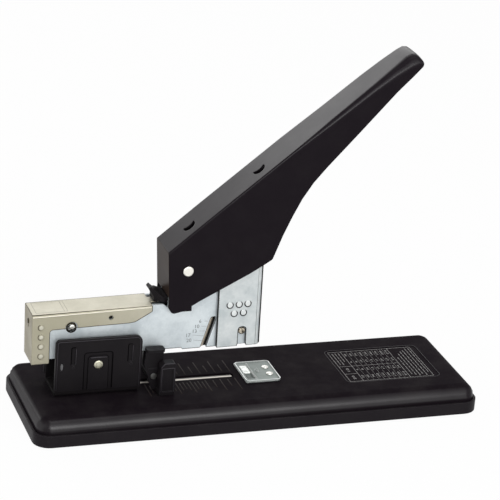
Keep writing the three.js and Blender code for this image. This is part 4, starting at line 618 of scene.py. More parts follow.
def struck_block_shaded_pocket():
    """Hardened steel: bright where the staples strike it, with painted shade in its near pocket."""
    made = bright_metal("anvil_steel", (0.62, 0.64, 0.62), (0.46, 0.48, 0.46), 0.2, 0.0003, 1.0)
    pocket_shade = spread(made.node_tree, axis_of(made.node_tree, "Object", "Y"), -0.7 * MM, -1.7 * MM)
    lay_over(made, pocket_shade, (0.06, 0.072, 0.066))
    return made


def plated_sheet():
    """Zinc or nickel on rolled sheet: soft cloudy patches, faint rolling lines and fine specks."""
    outputs = {"Cloud": "Float", "Line": "Float", "Height": "Float"}
    tree, given, result = effect("plated_sheet", {"Cloud size": 0.012, "Line length": 0.02}, outputs)
    cloud = noise(tree, math_of(tree, "DIVIDE", 1.0, given["Cloud size"]), 6, 0.68)
    line = noise(tree, 3600.0, 4, 0.65, drawn_out(tree, given["Line length"]))
    speck = noise(tree, 3000.0, 2)
    feed(result, {
        "Cloud": spread(tree, cloud, 0.36, 0.66),
        "Line": spread(tree, line, 0.3, 0.7),
        "Height": math_of(tree, "ADD", product(tree, line, 0.7), product(tree, speck, 0.5)),
    })


plated_sheet()


def plated(name, colour, cloudy, painted_edge_tone, sharpness, gloss, radius=0.0005):
    """Plated sheet steel, with a painted tone along its cut edges and the outside of its bends: painted shade
    where the tone is dark, a painted highlight where it is light.
    """
    made, tree, shader = material(name)
    sheet = use(tree, "plated_sheet")
    edge = use(tree, "rounded_edge", Radius=radius)
    even = colours(tree, sheet["Cloud"], colour, cloudy)
    lines, clouds = product(tree, sheet["Line"], 0.1), product(tree, sheet["Cloud"], 0.08)
    feed(shader, {
        "Base Color": colours(tree, spread(tree, edge["Edge"], sharpness, sharpness + 0.45), even, painted_edge_tone),
        "Roughness": math_of(tree, "ADD", lines, clouds, gloss),
        "Normal": bumped(tree, 0.15, 0.00003, sheet["Height"], edge["Normal"]),
        "Metallic": 0.28,
    })
    return made


rivet_steel = bright_metal("rivet_steel", (0.80, 0.80, 0.76), (0.66, 0.66, 0.60), 0.14, 0.0005, 1.0)
# The light edge tone of the anvil plate is a painted highlight.
anvil_zinc = plated(
    "anvil_zinc", (0.25, 0.285, 0.27), (0.185, 0.215, 0.20), (0.60, 0.62, 0.61), 0.05, 0.38, 0.0007)
finish_nodes(struck_block_shaded_pocket(), "anvil_block")
finish_nodes(rivet_steel, "anvil_rivet_near", "anvil_rivet_far")
finish_nodes(anvil_zinc, "anvil_plate")

# The turned-up rim has a painted highlight along its top.
RIM_IN, RIM_CUT, RIM_HIGHLIGHT = 0.5 * MM, 1.2 * MM, 0.55 * MM
anvil_low, anvil_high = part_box("anvil_plate")
left, right = anvil_low.x + RIM_IN, anvil_high.x - RIM_IN
near, far = anvil_low.y + RIM_IN, anvil_high.y - RIM_IN
rim_path = [(left + RIM_CUT, near), (right - RIM_CUT, near), (right, near + RIM_CUT), (right, far - RIM_CUT),
            (right - RIM_CUT, far), (left + RIM_CUT, far), (left, far - RIM_CUT), (left, near + RIM_CUT)]
anvil_rim = Heap()
for start, end in zip(rim_path, rim_path[1:] + rim_path[:1]):
    flat_line(anvil_rim, (*start, anvil_high.z), (*end, anvil_high.z), RIM_HIGHLIGHT, UP)
rim_highlight_zinc = bright_metal("rim_highlight_zinc", (0.66, 0.68, 0.67), (0.50, 0.53, 0.52), 0.3, 0.0001, 1.0)
anvil_rim.piece("anvil_rim_wear", rim_highlight_zinc, "base")


# ---------------- rear hinge
# A folded steel bracket riveted to the base carries the hinge pin. Each of its ears wears a
# black moulded cover, and a coil spring under the frame lifts the head.

cover_plastic = black_moulding(
    "cover_plastic", (0.0095, 0.008, 0.0095), (0.045, 0.042, 0.047), 0.42, 0.1, 0.0004)
bracket_enamel = black_enamel(
    "bracket_enamel", (0.0095, 0.008, 0.009), (0.03, 0.028, 0.028), 0.45, 0.08, 0.0004)
hinge_nickel = bright_metal("hinge_nickel", (0.56, 0.55, 0.44), (0.42, 0.41, 0.32), 0.3, 0.0006, 1.0)
spring_steel = bright_metal("spring_steel", (0.50, 0.49, 0.47), (0.34, 0.33, 0.31), 0.3, 0.0002, 1.0)
finish_nodes(bracket_enamel, "hinge_bracket")
finish_nodes(cover_plastic, "hinge_cover_near", "hinge_cover_far")
finish_nodes(hinge_nickel, "hinge_pin")
finish_nodes(spring_steel, "lift_spring", "bracket_rivet_rear", "bracket_rivet_front")


def closing_coil(spring, body):
    """The wire of a spring in place of its solid: a copy of its mesh that rides on a body, with the solid
    hidden.
    """
    solid = bpy.data.objects[spring].data
    turns = Heap()
    turns.add([v.co for v in solid.vertices], [face.vertices for face in solid.polygons])
    wire = turns.piece(spring + "_wire", spring_steel, body, smooth=True)
    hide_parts(spring)
    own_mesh(wire)


closing_coil("lift_spring", "base")


def drawn_line(heap, points, thick):
    """A thin rounded line through points on the side of a piece; thick is one value or a list."""
    thicks = thick if isinstance(thick, list) else [thick] * len(points)
    points = [Vector(p) for p in points]
    out = Vector((0, 1, 0))
    rings = []
    for k, point in enumerate(points):
        run = (points[min(len(points) - 1, k + 1)] - points[max(0, k - 1)]).normalized()
        up = run.cross(out)
        rings.append([point + (out * math.cos(a) + up * math.sin(a)) * thicks[k] * MM for a in angles(6)])
    heap.rings(rings)


def rounded_path(corners):
    """A path through (across, height, radius) corners, each rounded by its radius."""
    path = [corners[0][:2]]
    for before, (u, w, radius), after in zip(corners, corners[1:-1], corners[2:]):
        corner = Vector((u, w))
        start = corner + (Vector(before[:2]) - corner).normalized() * radius
        end = corner + (Vector(after[:2]) - corner).normalized() * radius
        for k in range(6):
            t = k / 5
            path.append(tuple(start * (1 - t) ** 2 + corner * 2 * t * (1 - t) + end * t * t))
    return path + [corners[-1][:2]]


# The covers are moulded with an arch round the pin, two blind slots and a rim. Painted shade lies
# in the grooves, and the raised edges carry painted highlights. All of these sizes are in millimetres.
cover_low, cover_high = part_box("hinge_cover_near")
pin_low, pin_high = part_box("hinge_pin")
PIN_X, PIN_Z = (pin_low.x + pin_high.x) / 2 / MM, (pin_low.z + pin_high.z) / 2 / MM
LEFT, RIGHT, TOP, FOOT = cover_low.x / MM, cover_high.x / MM, cover_high.z / MM, cover_low.z / MM
FACE = -cover_low.y / MM - 0.5
SLOT_MIDDLES = PIN_X - 16, PIN_X + 20.4
cover_shade_lines, cover_highlight_lines = Heap(), Heap()


def on_cover(heap, side, corners, depth, thick):
    """A line along a rounded path on the face of one cover."""
    drawn_line(heap, [Vector((x, side * depth, z)) * MM for x, z in rounded_path(corners)], thick)


for side in (-1, 1):
    for half, rise, thick in ((9.2, 8.5, 0.26), (6.5, 6.0, 0.13)):
        left, right, top = PIN_X - half, PIN_X + half, PIN_Z + rise
        arch = [(left, FOOT + 0.4, 0), (left, top, 2.2), (right, top, 2.2), (right, FOOT + 0.4, 0)]
        on_cover(cover_shade_lines, side, arch, FACE - 0.05, thick)
    crown = [(PIN_X - 5, PIN_Z + 4.9, 0), (PIN_X, PIN_Z + 4.95, 0.5), (PIN_X + 5.4, PIN_Z + 4.9, 0)]
    on_cover(cover_highlight_lines, side, crown, FACE - 0.05, 0.3)
    for x in SLOT_MIDDLES:
        shaded = [(x - 1.5, PIN_Z + 1, 0), (x - 1.5, PIN_Z + 12.7, 1), (x + 1.1, PIN_Z + 12.7, 0)]
        on_cover(cover_shade_lines, side, shaded, FACE, 0.3)
        on_cover(cover_highlight_lines, side, [(x + 1.5, PIN_Z + 11.5, 0), (x + 1.5, PIN_Z + 1, 0)], FACE, 0.16)
    for inset, heap, proud in ((1.15, cover_highlight_lines, 0.42), (0.28, cover_shade_lines, 0.3)):
        rim = [(LEFT + inset, FOOT + 1, 0), (LEFT + inset, TOP - inset, 2.5 - inset),
               (RIGHT - inset, TOP - inset, 4 - inset), (RIGHT - inset, FOOT + 1, 0)]
        on_cover(heap, side, rim, FACE + proud, 0.18)
edge_highlight_black = black_moulding("edge_highlight_black", (0.055, 0.05, 0.058), (0.08, 0.075, 0.08), 0.4, 0.2, 0.0001)
groove_shade_black = black_moulding(
    "groove_shade_black", (0.0022, 0.002, 0.0024), (0.003, 0.003, 0.003), 0.7, 0.0, 0.0001)
cover_shade_lines.piece("hinge_cover_grooves", groove_shade_black, "base", smooth=True)
cover_highlight_lines.piece("hinge_cover_rubbed_edges", edge_highlight_black, "base", smooth=True)

# A grey oval in the small window of each cover is a painted highlight, and a dark ring round
# each end of the pin is painted shade for a turned groove.
WINDOW_X, WINDOW_Z, WINDOW_HALF, WINDOW_RISE = LEFT + 4.3, PIN_Z - 0.4, 0.85, 2.3
PIN_FACE, PIN_GROOVE = -pin_low.y / MM, 1.75
windows, pin_rings = Heap(), Heap()
for side in (-1, 1):
    oval = [(WINDOW_X + WINDOW_HALF * math.cos(a), WINDOW_Z + WINDOW_RISE * math.sin(a)) for a in angles(16)]
    rings = [[Vector((x, side * (FACE - sunk), z)) * MM for x, z in oval] for sunk in (0.75, 0.5)]
    windows.rings([r[::-1] if side > 0 else r for r in rings])
    circle = []
    for a in angles(20) + [math.tau]:
        x, z = PIN_X + PIN_GROOVE * math.cos(a), PIN_Z + PIN_GROOVE * math.sin(a)
        circle.append(Vector((x, side * (PIN_FACE - 0.06), z)) * MM)
    drawn_line(pin_rings, circle, 0.12)
window_highlight_steel = bright_metal("window_highlight_steel", (0.17, 0.17, 0.175), (0.07, 0.07, 0.074), 0.4, 0.0001, 1.0)
windows.piece("hinge_cover_windows", window_highlight_steel, "base")
pin_groove_shade = bright_metal("pin_groove_shade", (0.30, 0.29, 0.22), (0.2, 0.19, 0.14), 0.4, 0.0001, 1.0)
pin_rings.piece("hinge_pin_rings", pin_groove_shade, "base", smooth=True)


# ---------------- head frame
# The long channel of zinc-plated sheet that carries everything in the head. Beside its
# slanting slot a gauge is printed: the leg lengths of the staples it takes.

# The dark edge tone of the frame is painted shade.
zinc = plated("zinc_sheet", (0.74, 0.80, 0.825), (0.56, 0.62, 0.65), (0.05, 0.052, 0.055), 0.1, 0.34)
finish_nodes(zinc, "head_frame")

HINGE = (pin_low + pin_high) / 2
HEAD_TILT = math.radians(1.2)
TILT = Matrix.Translation(HINGE) @ Matrix.Rotation(-HEAD_TILT, 4, "Y")
FRAME_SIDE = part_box("head_frame")[1].y / MM


def on_head(u, y, w):
    """A place on the head: millimetres along it and above the hinge pin, and a depth in metres."""
    return TILT @ Vector((u * MM, 0, w * MM)) + Vector((0, y, 0))


# Each size: where its number stands, and where the tick beside it ends at the slot.
GAUGE = [
    ("6", 66.9, 20.9, 71.9, 20.6),
    ("10", 64.8, 17.5, 71.0, 17.2),
    ("13", 63.4, 14.3, 70.2, 14.0),
    ("17", 59.2, 11.9, 69.5, 10.7),
    ("20", 60.0, 8.3, 68.9, 7.4),
]
NEARWARDS = Vector((0, -1, 0))
gauge = Heap()
ink_y = -FRAME_SIDE * MM - INK_LIFT
upright = TILT.to_3x3().to_4x4() @ Matrix.Rotation(math.radians(90), 4, "X")
for text, u, w, tick_u, tick_w in GAUGE:
    number_mesh(gauge, text, 3.4 * MM, Matrix.Translation(on_head(u, ink_y, w)) @ upright)
    start = on_head(u + 2.4 + 0.3 * len(text), ink_y, w)
    flat_line(gauge, start, on_head(tick_u, ink_y, tick_w), 0.16 * MM, NEARWARDS)
dark_ink = print_finish("dark_ink", (0.10, 0.11, 0.12), (0.26, 0.28, 0.30))
gauge.piece("gauge_print", dark_ink, "head")


# ---------------- front housing
# Thicker plated sheet folded round the front of the frame, with pressed half-moons in its
# sides. A round-headed stud on each side of the frame sits in its slot.

def paint_left_faces(finish, tone, low=-0.5, high=-0.9):
    """A tone painted on the faces that look left: painted shade on a cut edge or an end where it is dark, a
    painted brown reflection where it is lighter.
    """
    tree = finish.node_tree
    leftward = spread(tree, axis_of(tree, "Normal", "X"), low, high)
    patchy = spread(tree, noise(tree, 90.0, 4), 0.3, 0.6, 0.7, 1.0)
    lay_over(finish, product(tree, leftward, patchy), tone)


def rolled_stud():
    """Bronzed steel with dark blotches over the face of each stud."""
    made = bright_metal("stud_bronze", (0.60, 0.55, 0.45), (0.40, 0.34, 0.26), 0.22, 0.0009, 1.0)
    dark = spread(made.node_tree, noise(made.node_tree, 620.0, 4, 0.7), 0.53, 0.43)
    lay_over(made, dark, (0.035, 0.028, 0.022))
    return made


# The dark edge tone of the housing is painted shade.
housing_zinc = plated(
    "housing_zinc", (0.71, 0.745, 0.745), (0.52, 0.57, 0.58), (0.035, 0.035, 0.036), 0.0, 0.32, 0.0008)
# Painted shade on the rear cut edge of the housing, which looks left.
paint_left_faces(housing_zinc, (0.025, 0.024, 0.022))
finish_nodes(housing_zinc, "front_housing")
finish_nodes(rolled_stud(), "housing_stud_near", "housing_stud_far")

# The sides of the head below are drawn in millimetres, along it and above the hinge pin.
SCALES = [(85.3, 31.5), (91.3, 31.6), (97.1, 31.7), (88.3, 25.6), (94.4, 25.7)]
SCALE_RADIUS = 1.9
SCALE_PROUD = 0.45
HOUSING_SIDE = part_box("front_housing")[1].y / MM - SCALE_PROUD


def side_arc(heap, side, depth, centre, radius, start, end, thick, steps=22, lean=0.0):
    """A thin rounded line along an arc on one side of the head, leaning out at its foot."""
    u, w = centre
    rings = []
    for k in range(steps + 1):
        angle = math.radians(start + (end - start) * k / steps)
        thin = thick * min(1, 0.25 + 5 * min(k, steps - k) / steps)
        out = side * (depth + lean * (1 - math.sin(angle)) / 2)
        ring = []
        for turn in angles(6):
            reach = radius + thin * math.cos(turn)
            y = out + thin * math.sin(turn)
            ring.append(on_head(u + reach * math.cos(angle), y * MM, w + reach * math.sin(angle)))
        rings.append(ring)
    heap.rings(rings)


def domed_disc(heap, side, root, centre, radius, rise, lean=0.0):
    """A closed disc on one side of the head, crowned in the middle and leaning out at its foot."""
    u, w = centre
    rings = []
    for share, crown in [(1, None), (1, 0), (0.85, 0.5), (0.6, 0.8), (0.3, 0.95), (0.02, 1)]:
        ring = []
        for turn in angles(28):
            du, dw = share * radius * math.cos(turn * side), share * radius * math.sin(turn * side)
            out = root if crown is None else root + 0.12 + rise * crown + lean * (radius - dw) / 2 / radius
            ring.append(on_head(u + du, side * out * MM, w + dw))
        rings.append(ring)
    heap.rings(rings)


def side_line(heap, points, depth, thick):
    """A thin line through (along, above) points on the side of the head."""
    drawn_line(heap, [on_head(u, depth * MM, w) for u, w in points], thick)


# The half-moons with dark rims of painted shade. Then painted shade down each front corner of the
# housing and down its rear edge, round the rim of its slot, and along each bend.
CORNER = [(105.95, 3.2), (105.95, 74)]
REAR_EDGE = [(77.8, 3.5), (77.8, 62)]
SLOT_RIM = [(91.0, 2.9, 0), (91.5, 4.4, 0.5), (91.5, 15.9, 2.3),
            (96.9, 15.9, 2.3), (96.9, 4.4, 0.5), (97.4, 2.9, 0)]
BEND = [(103.3, 3), (103.3, 74)]
scale_faces, housing_shade_lines, bends = Heap(), Heap(), Heap()
for side in (-1, 1):
    for centre in SCALES:
        domed_disc(scale_faces, side, HOUSING_SIDE - 0.1, centre, SCALE_RADIUS, 0.08, SCALE_PROUD)
        rim = SCALE_RADIUS + 0.15
        side_arc(housing_shade_lines, side, HOUSING_SIDE, centre, rim, 122, 418, 0.36, lean=SCALE_PROUD)
    side_line(housing_shade_lines, CORNER, side * (HOUSING_SIDE - 1.7), 0.7)
    side_line(housing_shade_lines, REAR_EDGE, side * (HOUSING_SIDE - 0.55), 0.6)
    side_line(housing_shade_lines, rounded_path(SLOT_RIM), side * (HOUSING_SIDE - 0.02), 0.2)
    side_line(bends, BEND, side * (HOUSING_SIDE - 0.02), 0.13)
scale_zinc = plated("scale_zinc", (0.80, 0.82, 0.81), (0.66, 0.70, 0.70), (0.4, 0.4, 0.4), 0.5, 0.25, 0.0002)
shade_line_steel = bright_metal("shade_line_steel", (0.035, 0.035, 0.036), (0.02, 0.02, 0.02), 0.5, 0.0001, 1.0)
bend_shadow = bright_metal("bend_shadow", (0.26, 0.27, 0.27), (0.16, 0.17, 0.17), 0.4, 0.0001, 1.0)
scale_faces.piece("housing_scales", scale_zinc, "head", smooth=True)
housing_shade_lines.piece("housing_scale_rims", shade_line_steel, "head", smooth=True)
bends.piece("housing_bend_lines", bend_shadow, "head", smooth=True)
catch_steel = bright_metal("catch_steel", (0.60, 0.61, 0.60), (0.42, 0.43, 0.42), 0.22, 0.0003, 1.0)
finish_nodes(catch_steel, "cover_catch_near", "cover_catch_far")

# Painted shade along the lower edge of each frame wall, and round the rim of its slanting slot.
FRAME_SLOT = [(67.6, 3, 0), (73.9, 23.5, 1.8), (77.7, 23.5, 1.8), (71.5, 3, 0)]
frame_burrs = Heap()
for side in (-1, 1):
    side_line(frame_burrs, [(20, 4), (55, 4), (56, 2.9), (67.4, 2.9)], side * FRAME_SIDE, 0.17)
    side_line(frame_burrs, [(71.6, 2.9), (77.6, 2.9)], side * FRAME_SIDE, 0.17)
    side_line(frame_burrs, rounded_path(FRAME_SLOT), side * FRAME_SIDE, 0.14)
frame_burrs.piece("frame_burrs", shade_line_steel, "head", smooth=True)


# ---------------- gauge window
# Behind the slanting slot in each side of the frame lies a black plate that is painted shade.
# Two bright strips on it, painted highlights, show through the slot where the staple legs are read.

SLOT_FOOT = (67.3, 1.9)
SLOT_LEAN = 6.6 / 21.6


def leaning_strip(heap, side, span, heights, depths):
    """A strip that leans as the slot does, between two depths."""
    (left, right), (inner, outer) = span, depths
    rings = []
    for w in heights:
        u = SLOT_FOOT[0] + (w - SLOT_FOOT[1]) * SLOT_LEAN
        corners = [(u + left, inner), (u + right, inner), (u + right, outer), (u + left, outer)]
        ring = [on_head(across, side * depth * MM, w) for across, depth in corners]
        rings.append(ring if side > 0 else ring[::-1])
    heap.rings(rings)


shade_sheets, edges = Heap(), Heap()
for side in (-1, 1):
    leaning_strip(shade_sheets, side, (-1.6, 5.2), (3.3, 25), (6.9, 7.1))
    leaning_strip(edges, side, (0.3, 1.1), (3.4, 22.4), (7.5, 8.2))
    leaning_strip(edges, side, (1.55, 1.85), (3.4, 22.4), (7.3, 7.7))
painted_shade_black = bright_metal("painted_shade_steel", (0.022, 0.02, 0.019), (0.012, 0.011, 0.01), 0.5, 0.0002)
gauge_highlight_bronze = bright_metal("gauge_highlight_bronze", (0.66, 0.60, 0.50), (0.34, 0.26, 0.18), 0.25, 0.0005, 1.0)
shade_sheets.piece("gauge_plates", painted_shade_black, "head")
edges.piece("gauge_edges", gauge_highlight_bronze, "head")


# ---------------- staples
# A glued strip of galvanised staples on its rail: fine grooves show where wire lies by wire.

def staple_finish():
    """Galvanised wire side by side, dulled in patches by the glue."""
    made, tree, shader = material("staple_wire")
    place = node(tree, "ShaderNodeTexCoord").outputs["Object"]
    wires = node(tree, "ShaderNodeTexWave", {"Vector": place, "Scale": 175.0, "Distortion": 0.0})
    glue = spread(tree, noise(tree, 500.0, 4), 0.4, 0.7)
    feed(shader, {
        "Base Color": colours(tree, glue, (0.55, 0.55, 0.53), (0.42, 0.41, 0.37)),
        "Roughness": spread(tree, glue, 0, 1, 0.28, 0.45),
        "Normal": bumped(tree, 0.6, 0.0001, wires.outputs["Fac"]),
        "Metallic": 1.0,
    })
    return made


# Its dark tone is painted shade on the magazine rail inside the head.
rail_zinc = bright_metal("rail_zinc", (0.16, 0.16, 0.155), (0.08, 0.078, 0.075), 0.35)
finish_nodes(rail_zinc, "magazine_rail")
finish_nodes(staple_finish(), "staple_strip")


# ---------------- magazine cover
# The sliding lid of the magazine, folded from satin nickel-plated sheet. Round dimples stiffen
# its left end, and a faint frame rolled into its top there is drawn in painted shade.

def shade_sides(finish, tone):
    """Painted shade on the two sides, darker than the top, most towards the left end."""
    tree = finish.node_tree
    upright = spread(tree, math_of(tree, "ABSOLUTE", axis_of(tree, "Normal", "Y")), 0.5, 0.9)
    toward_left_end = spread(tree, axis_of(tree, "Object", "X"), -0.075, -0.105, 0.45, 1.0)
    patchy = spread(tree, noise(tree, 60.0, 5), 0.3, 0.7, 0.75, 1.0)
    lay_over(finish, product(tree, upright, toward_left_end, patchy), tone)


# The dark edge tone of the lid is painted shade.
nickel = plated(
    "nickel_sheet", (0.60, 0.57, 0.465), (0.53, 0.505, 0.405), (0.10, 0.09, 0.065), 0.45, 0.34, 0.0009)
# Painted shade on the left end of the lid.
paint_left_faces(nickel, (0.27, 0.24, 0.165))
# Painted shade on the lid's two sides.
shade_sides(nickel, (0.40, 0.375, 0.275))
rod_steel = bright_metal("rod_steel", (0.10, 0.085, 0.055), (0.05, 0.042, 0.03), 0.35)
finish_nodes(nickel, "magazine_cover")
finish_nodes(rod_steel, "pusher_rod")
finish_nodes(spring_steel, "pusher_spring")

DIMPLE_PROUD = 0.35
LID_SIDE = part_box("magazine_cover")[1].y / MM - DIMPLE_PROUD
LID_TOP = 35.2
DIMPLES = [(-35.7, 26.5), (-35.7, 20), (-35.7, 13.6), (-35.7, 7)]
DIMPLE_RADIUS = 1.9
NOTCH = (-16.5, 24.3)
NOTCH_RADIUS = 3.0
# The dark arcs beside each dimple and over the lid's notch are painted shade.
dimples, lid_grooves = Heap(), Heap()
for side in (-1, 1):
    for centre in DIMPLES:
        domed_disc(dimples, side, LID_SIDE - 0.1, centre, DIMPLE_RADIUS, 0.45)
        side_arc(lid_grooves, side, LID_SIDE + 0.05, centre, DIMPLE_RADIUS + 0.05, 118, 285, 0.24)
    side_arc(lid_grooves, side, FRAME_SIDE + 0.25, NOTCH, NOTCH_RADIUS, -4, 184, 0.55, 32)

# Painted shade along the edges of the folded sheet: along its skirt, along its top fold as a painted dark
# reflection, and across the top of its left end.
SKIRT = [(-30.4, 2, 0), (-30.4, 24.3, 2.5), (21.2, 24.6, 3),
         (24.1, 25.1, 1), (34.9, 31.2, 0.6), (34.9, 34.8, 0)]
TOP_EDGE = [(-41.3, 34.72), (-20, 34.75), (0, 34.78), (34.5, 34.85)]
END_EDGE = [(-9.6, 34.7), (-8.6, 35.1), (8.6, 35.1), (9.6, 34.7)]
for side in (-1, 1):
    side_line(lid_grooves, rounded_path(SKIRT), side * (LID_SIDE - 0.02), 0.17)
    side_line(lid_grooves, TOP_EDGE, side * (LID_SIDE - 0.48), [0.34, 0.27, 0.2, 0.14])
end_edge = [on_head(-41.4, y * MM, w) for y, w in END_EDGE]
for start, end in zip(end_edge, end_edge[1:]):
    flat_line(lid_grooves, start, end, 0.5 * MM, TILT.to_3x3() @ Vector((-1, 0, 1)))
dimple_nickel = plated(
    "dimple_nickel", (0.63, 0.61, 0.51), (0.52, 0.50, 0.41), (0.3, 0.28, 0.2), 0.5, 0.26, 0.0002)
groove_shade_nickel = bright_metal("groove_shade_nickel", (0.055, 0.048, 0.032), (0.03, 0.026, 0.018), 0.5, 0.0001, 1.0)
dimples.piece("lid_dimples", dimple_nickel, "cover", smooth=True)
lid_grooves.piece("lid_grooves", groove_shade_nickel, "cover", smooth=True)

# Just under its folded top edge each side has a painted highlight.
FOLD = [(-41.0, 33.4), (-20, 33.55), (34.3, 33.9)]
fold_highlight = Heap()
for side in (-1, 1):
    side_line(fold_highlight, FOLD, side * (LID_SIDE - 0.01), [0.34, 0.28, 0.2])
highlight_nickel = bright_metal("highlight_nickel", (0.80, 0.77, 0.68), (0.66, 0.63, 0.54), 0.3, 0.0001, 1.0)
fold_highlight.piece("lid_rubbed_fold", highlight_nickel, "cover")

# On the frame below: painted shade in the lower half of the lid's notch and in the peep hole of the
# rail, and the bright crown of each catch in its ring of painted shade.
PEEP_HOLE, CATCH_CROWN = (8.4, 29.2), (-15.9, 24.5)
notch_and_peep_shade, crowns = Heap(), Heap()
for side in (-1, 1):
    side_arc(notch_and_peep_shade, side, FRAME_SIDE + 0.2, NOTCH, NOTCH_RADIUS, 176, 364, 0.5, 32)
    side_arc(notch_and_peep_shade, side, FRAME_SIDE + 0.2, (-17.2, 24.3), 1.5, 120, 215, 0.3, 20)
    domed_disc(notch_and_peep_shade, side, FRAME_SIDE - 0.1, PEEP_HOLE, 1.35, 0.02)
    domed_disc(crowns, side, FRAME_SIDE, CATCH_CROWN, 1.95, 0.45)
notch_and_peep_shade.piece("frame_dark_holes", painted_shade_black, "head")
crowns.piece("catch_crowns", rivet_steel, "head", smooth=True)

# The frame rolled into the top, drawn as thin strips of painted shade: four sides and one line across.
lid_frame = [(-38.5, -7.6), (-38.5, 7.6), (-18.6, 7.6), (-18.6, -7.6)]
lid_lines = [*zip(lid_frame, lid_frame[1:] + lid_frame[:1]), ((-20.6, 7.6), (-20.6, -7.6))]
lid_marks = Heap()
for ends in lid_lines:
    start, end = [on_head(u, y * MM, LID_TOP) for u, y in ends]
    flat_line(lid_marks, start, end, 0.2 * MM, TILT.to_3x3() @ UP)
rolled_line_shade = print_finish("rolled_line_shade", (0.13, 0.12, 0.09), (0.26, 0.245, 0.19))
lid_marks.piece("lid_frame", rolled_line_shade, "cover")


# ---------------- pusher and release latch
# The staple pusher is a black moulding on its rod. The latch behind the handle is another,
# with a finger end that springs back over the lid.

pin_nickel = bright_metal("pin_nickel", (0.92, 0.90, 0.83), (0.84, 0.81, 0.74), 0.28, 0.0006, 1.0)
finish_nodes(cover_plastic, "pusher", "release_latch")
finish_nodes(pin_nickel, "latch_pin")
finish_nodes(spring_steel, "latch_spring")


# ---------------- handle
# A long lever folded from thick sheet and enamelled in satin black, a little glossier than
# the base. It turns on a bright headed pin; two crescent openings are pierced in its top.

handle_enamel = black_enamel(
    "handle_enamel", (0.0098, 0.0072, 0.0098), (0.014, 0.0115, 0.0135), 0.36, 0.05, 0.0016)
polished_by_hands(handle_enamel, "Grip", 0.86, Start=-0.078, End=0.02)
# A painted brown reflection on the faces of the handle that look left.
paint_left_faces(handle_enamel, (0.034, 0.022, 0.017), -0.8, -0.98)
forged_steel = bright_metal("forged_steel", (0.22, 0.22, 0.225), (0.13, 0.13, 0.13), 0.4, 0.0006, 1.0)
finish_nodes(handle_enamel, "handle_shell")
finish_nodes(pin_nickel, "pivot_pin")
finish_nodes(cover_plastic, "pivot_bush_near", "pivot_bush_far")
finish_nodes(forged_steel, "drive_lever", "tie_pin")


# ---------------- driver
# The block that the lever's nose pushes down, the spring that brings it back, and the
# hardened blade that drives the staple.

finish_nodes(forged_steel, "driver_block")
finish_nodes(plain_steel, "driver_blade", "blade_rivet")
finish_nodes(spring_steel, "handle_spring")
closing_coil("handle_spring", "head")


# ---------------- paper guide
# A black moulding that slides on the rail; its two arms stop the edge of the paper. A thumb
# lever on a bright pin locks it.

finish_nodes(cover_plastic, "guide_slider", "guide_lock_lever")
finish_nodes(rail_zinc, "guide_pin")

# The outer face of each arm has a raised frame, and both it and the top edge carry painted highlight lines.
arm_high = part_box("guide_slider")[1]
arm_right, arm_top = arm_high.x / MM, arm_high.z / MM
arm_left = arm_right - 10.1
arm_foot = BASE_TOP / MM + 2.7
frame_left, frame_right = arm_left + 1.1, arm_right - 0.8
top_line_height = arm_top - 0.15
arm_highlight_lines = Heap()
for side in (-1, 1):
    frame_line = [(frame_left, arm_foot, 0), (frame_left, arm_top - 3.4, 1),
                  (frame_right, arm_top - 3.2, 0.8), (frame_right, arm_foot, 0)]
    top_line = [(arm_left + 0.5, arm_top - 2.7, 0), (arm_left + 2.7, top_line_height, 0.5),
                (arm_right - 1, top_line_height, 0)]
    on_cover(arm_highlight_lines, side, frame_line, arm_high.y / MM, 0.2)
    on_cover(arm_highlight_lines, side, top_line, arm_high.y / MM, 0.26)
arm_highlight_lines.piece("guide_arm_rubbed_edges", edge_highlight_black, "guide", smooth=True)


# ---------------- studio
# A pale floor and soft lamps in a white room. The camera stands left of the stapler and
# above it, with a long lens.

WHITE = (1, 1, 1, 1)


def is_seen(tree):
    """1 for rays from the camera, and for those that metal and glass send on."""
    path = node(tree, "ShaderNodeLightPath").outputs
    rays = [path[kind] for kind in ("Is Camera Ray", "Is Glossy Ray", "Is Transmission Ray")]
    return node(tree, "ShaderNodeClamp", {"Value": math_of(tree, "ADD", *rays)}).outputs[0]


def white_room(strength):
    """A world that lights at one strength and is seen as plain white."""
    world = bpy.data.worlds.new("white_room")
    bpy.context.scene.world = world
    world.use_nodes = True
    tree = world.node_tree
    tree.nodes.clear()
    light = node(tree, "ShaderNodeBackground", {"Color": WHITE, "Strength": strength})
    white = node(tree, "ShaderNodeBackground", {"Color": WHITE, "Strength": 1.0})
    both = node(tree, "ShaderNodeMixShader", {0: is_seen(tree), 1: light.outputs[0], 2: white.outputs[0]})
    feed(tree.nodes.new("ShaderNodeOutputWorld"), {"Surface": both.outputs[0]})


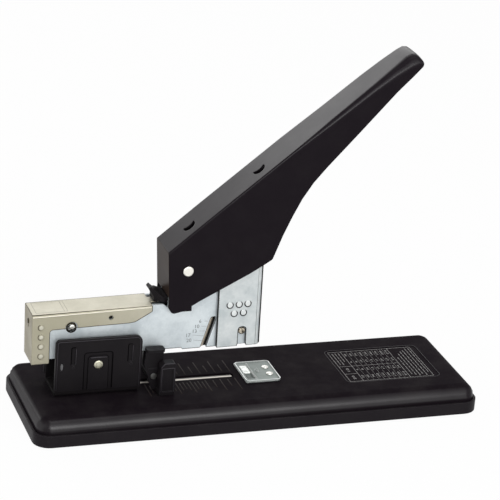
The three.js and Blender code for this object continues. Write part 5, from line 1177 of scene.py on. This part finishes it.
def floor(size):
    """A matt pale sheet that is seen almost white and keeps the stapler's shadow."""
    made, tree, shader = material("pale_floor")
    feed(shader, {"Base Color": (0.86, 0.86, 0.86, 1), "Roughness": 0.9})
    glow = node(tree, "ShaderNodeEmission", {"Color": WHITE, "Strength": 1.0})
    share = product(tree, is_seen(tree), 0.96)
    both = node(tree, "ShaderNodeMixShader", {0: share, 1: shader.outputs[0], 2: glow.outputs[0]})
    feed(tree.nodes["Material Output"], {"Surface": both.outputs[0]})
    corners = [(-size, -size, 0), (size, -size, 0), (size, size, 0), (-size, size, 0)]
    mesh = bpy.data.meshes.new("floor")
    mesh.from_pydata(corners, [], [(0, 1, 2, 3)])
    mesh.materials.append(made)
    put_in_scene("floor", mesh)


def softbox(name, place, target, width, height, power):
    """A rectangular lamp that looks at a target."""
    lamp = bpy.data.lights.new(name, "AREA")
    lamp.shape = "RECTANGLE"
    lamp.size = width
    lamp.size_y = height
    lamp.energy = power
    box = put_in_scene(name, lamp)
    box.location = place
    box.rotation_euler = (Vector(target) - Vector(place)).to_track_quat("-Z", "Y").to_euler()


white_room(0.4)
floor(4.0)
softbox("front_softbox", (0.03, -1.24, 0.47), (0, 0, 0.02), 1.0, 0.5, 6.4)
softbox("overhead_softbox", (0.1, -0.1, 1.3), (0, 0, 0), 0.8, 0.6, 5.8)
softbox("back_softbox", (0.05, 1.2, 0.78), (0, 0, 0.1), 1.3, 0.45, 1.95)
softbox("side_softbox", (-1.2, -0.7, 0.6), (0, 0, 0.1), 0.8, 0.7, 2.5)
softbox("rear_left_softbox", (-0.6, 1.1, 0.36), (-0.14, 0, 0.02), 0.4, 0.3, 1.5)

AZIMUTH, ELEVATION, ROLL = math.radians(-19.97), math.radians(21.87), math.radians(4.60)
CAMERA_PLACE = Vector((-0.44957, -1.22732, 0.63842))
back = Vector((
    math.sin(AZIMUTH) * math.cos(ELEVATION),
    -math.cos(AZIMUTH) * math.cos(ELEVATION),
    math.sin(ELEVATION),
))
level = (-back).cross(UP).normalized()
above = level.cross(-back)
right = math.cos(ROLL) * level + math.sin(ROLL) * above
top = math.cos(ROLL) * above - math.sin(ROLL) * level
lens = bpy.data.cameras.new("camera")
lens.sensor_width = 36
lens.lens = 161.4
lens.shift_x = 0.0004
lens.shift_y = -0.0277
lens.clip_start = 0.01
camera = put_in_scene("camera", lens)
camera.matrix_world = Matrix.Translation(CAMERA_PLACE) @ Matrix((right, top, back)).transposed().to_4x4()
bpy.context.scene.camera = camera

bpy.context.scene.view_settings.view_transform = "Standard"

bpy.context.view_layer.update()
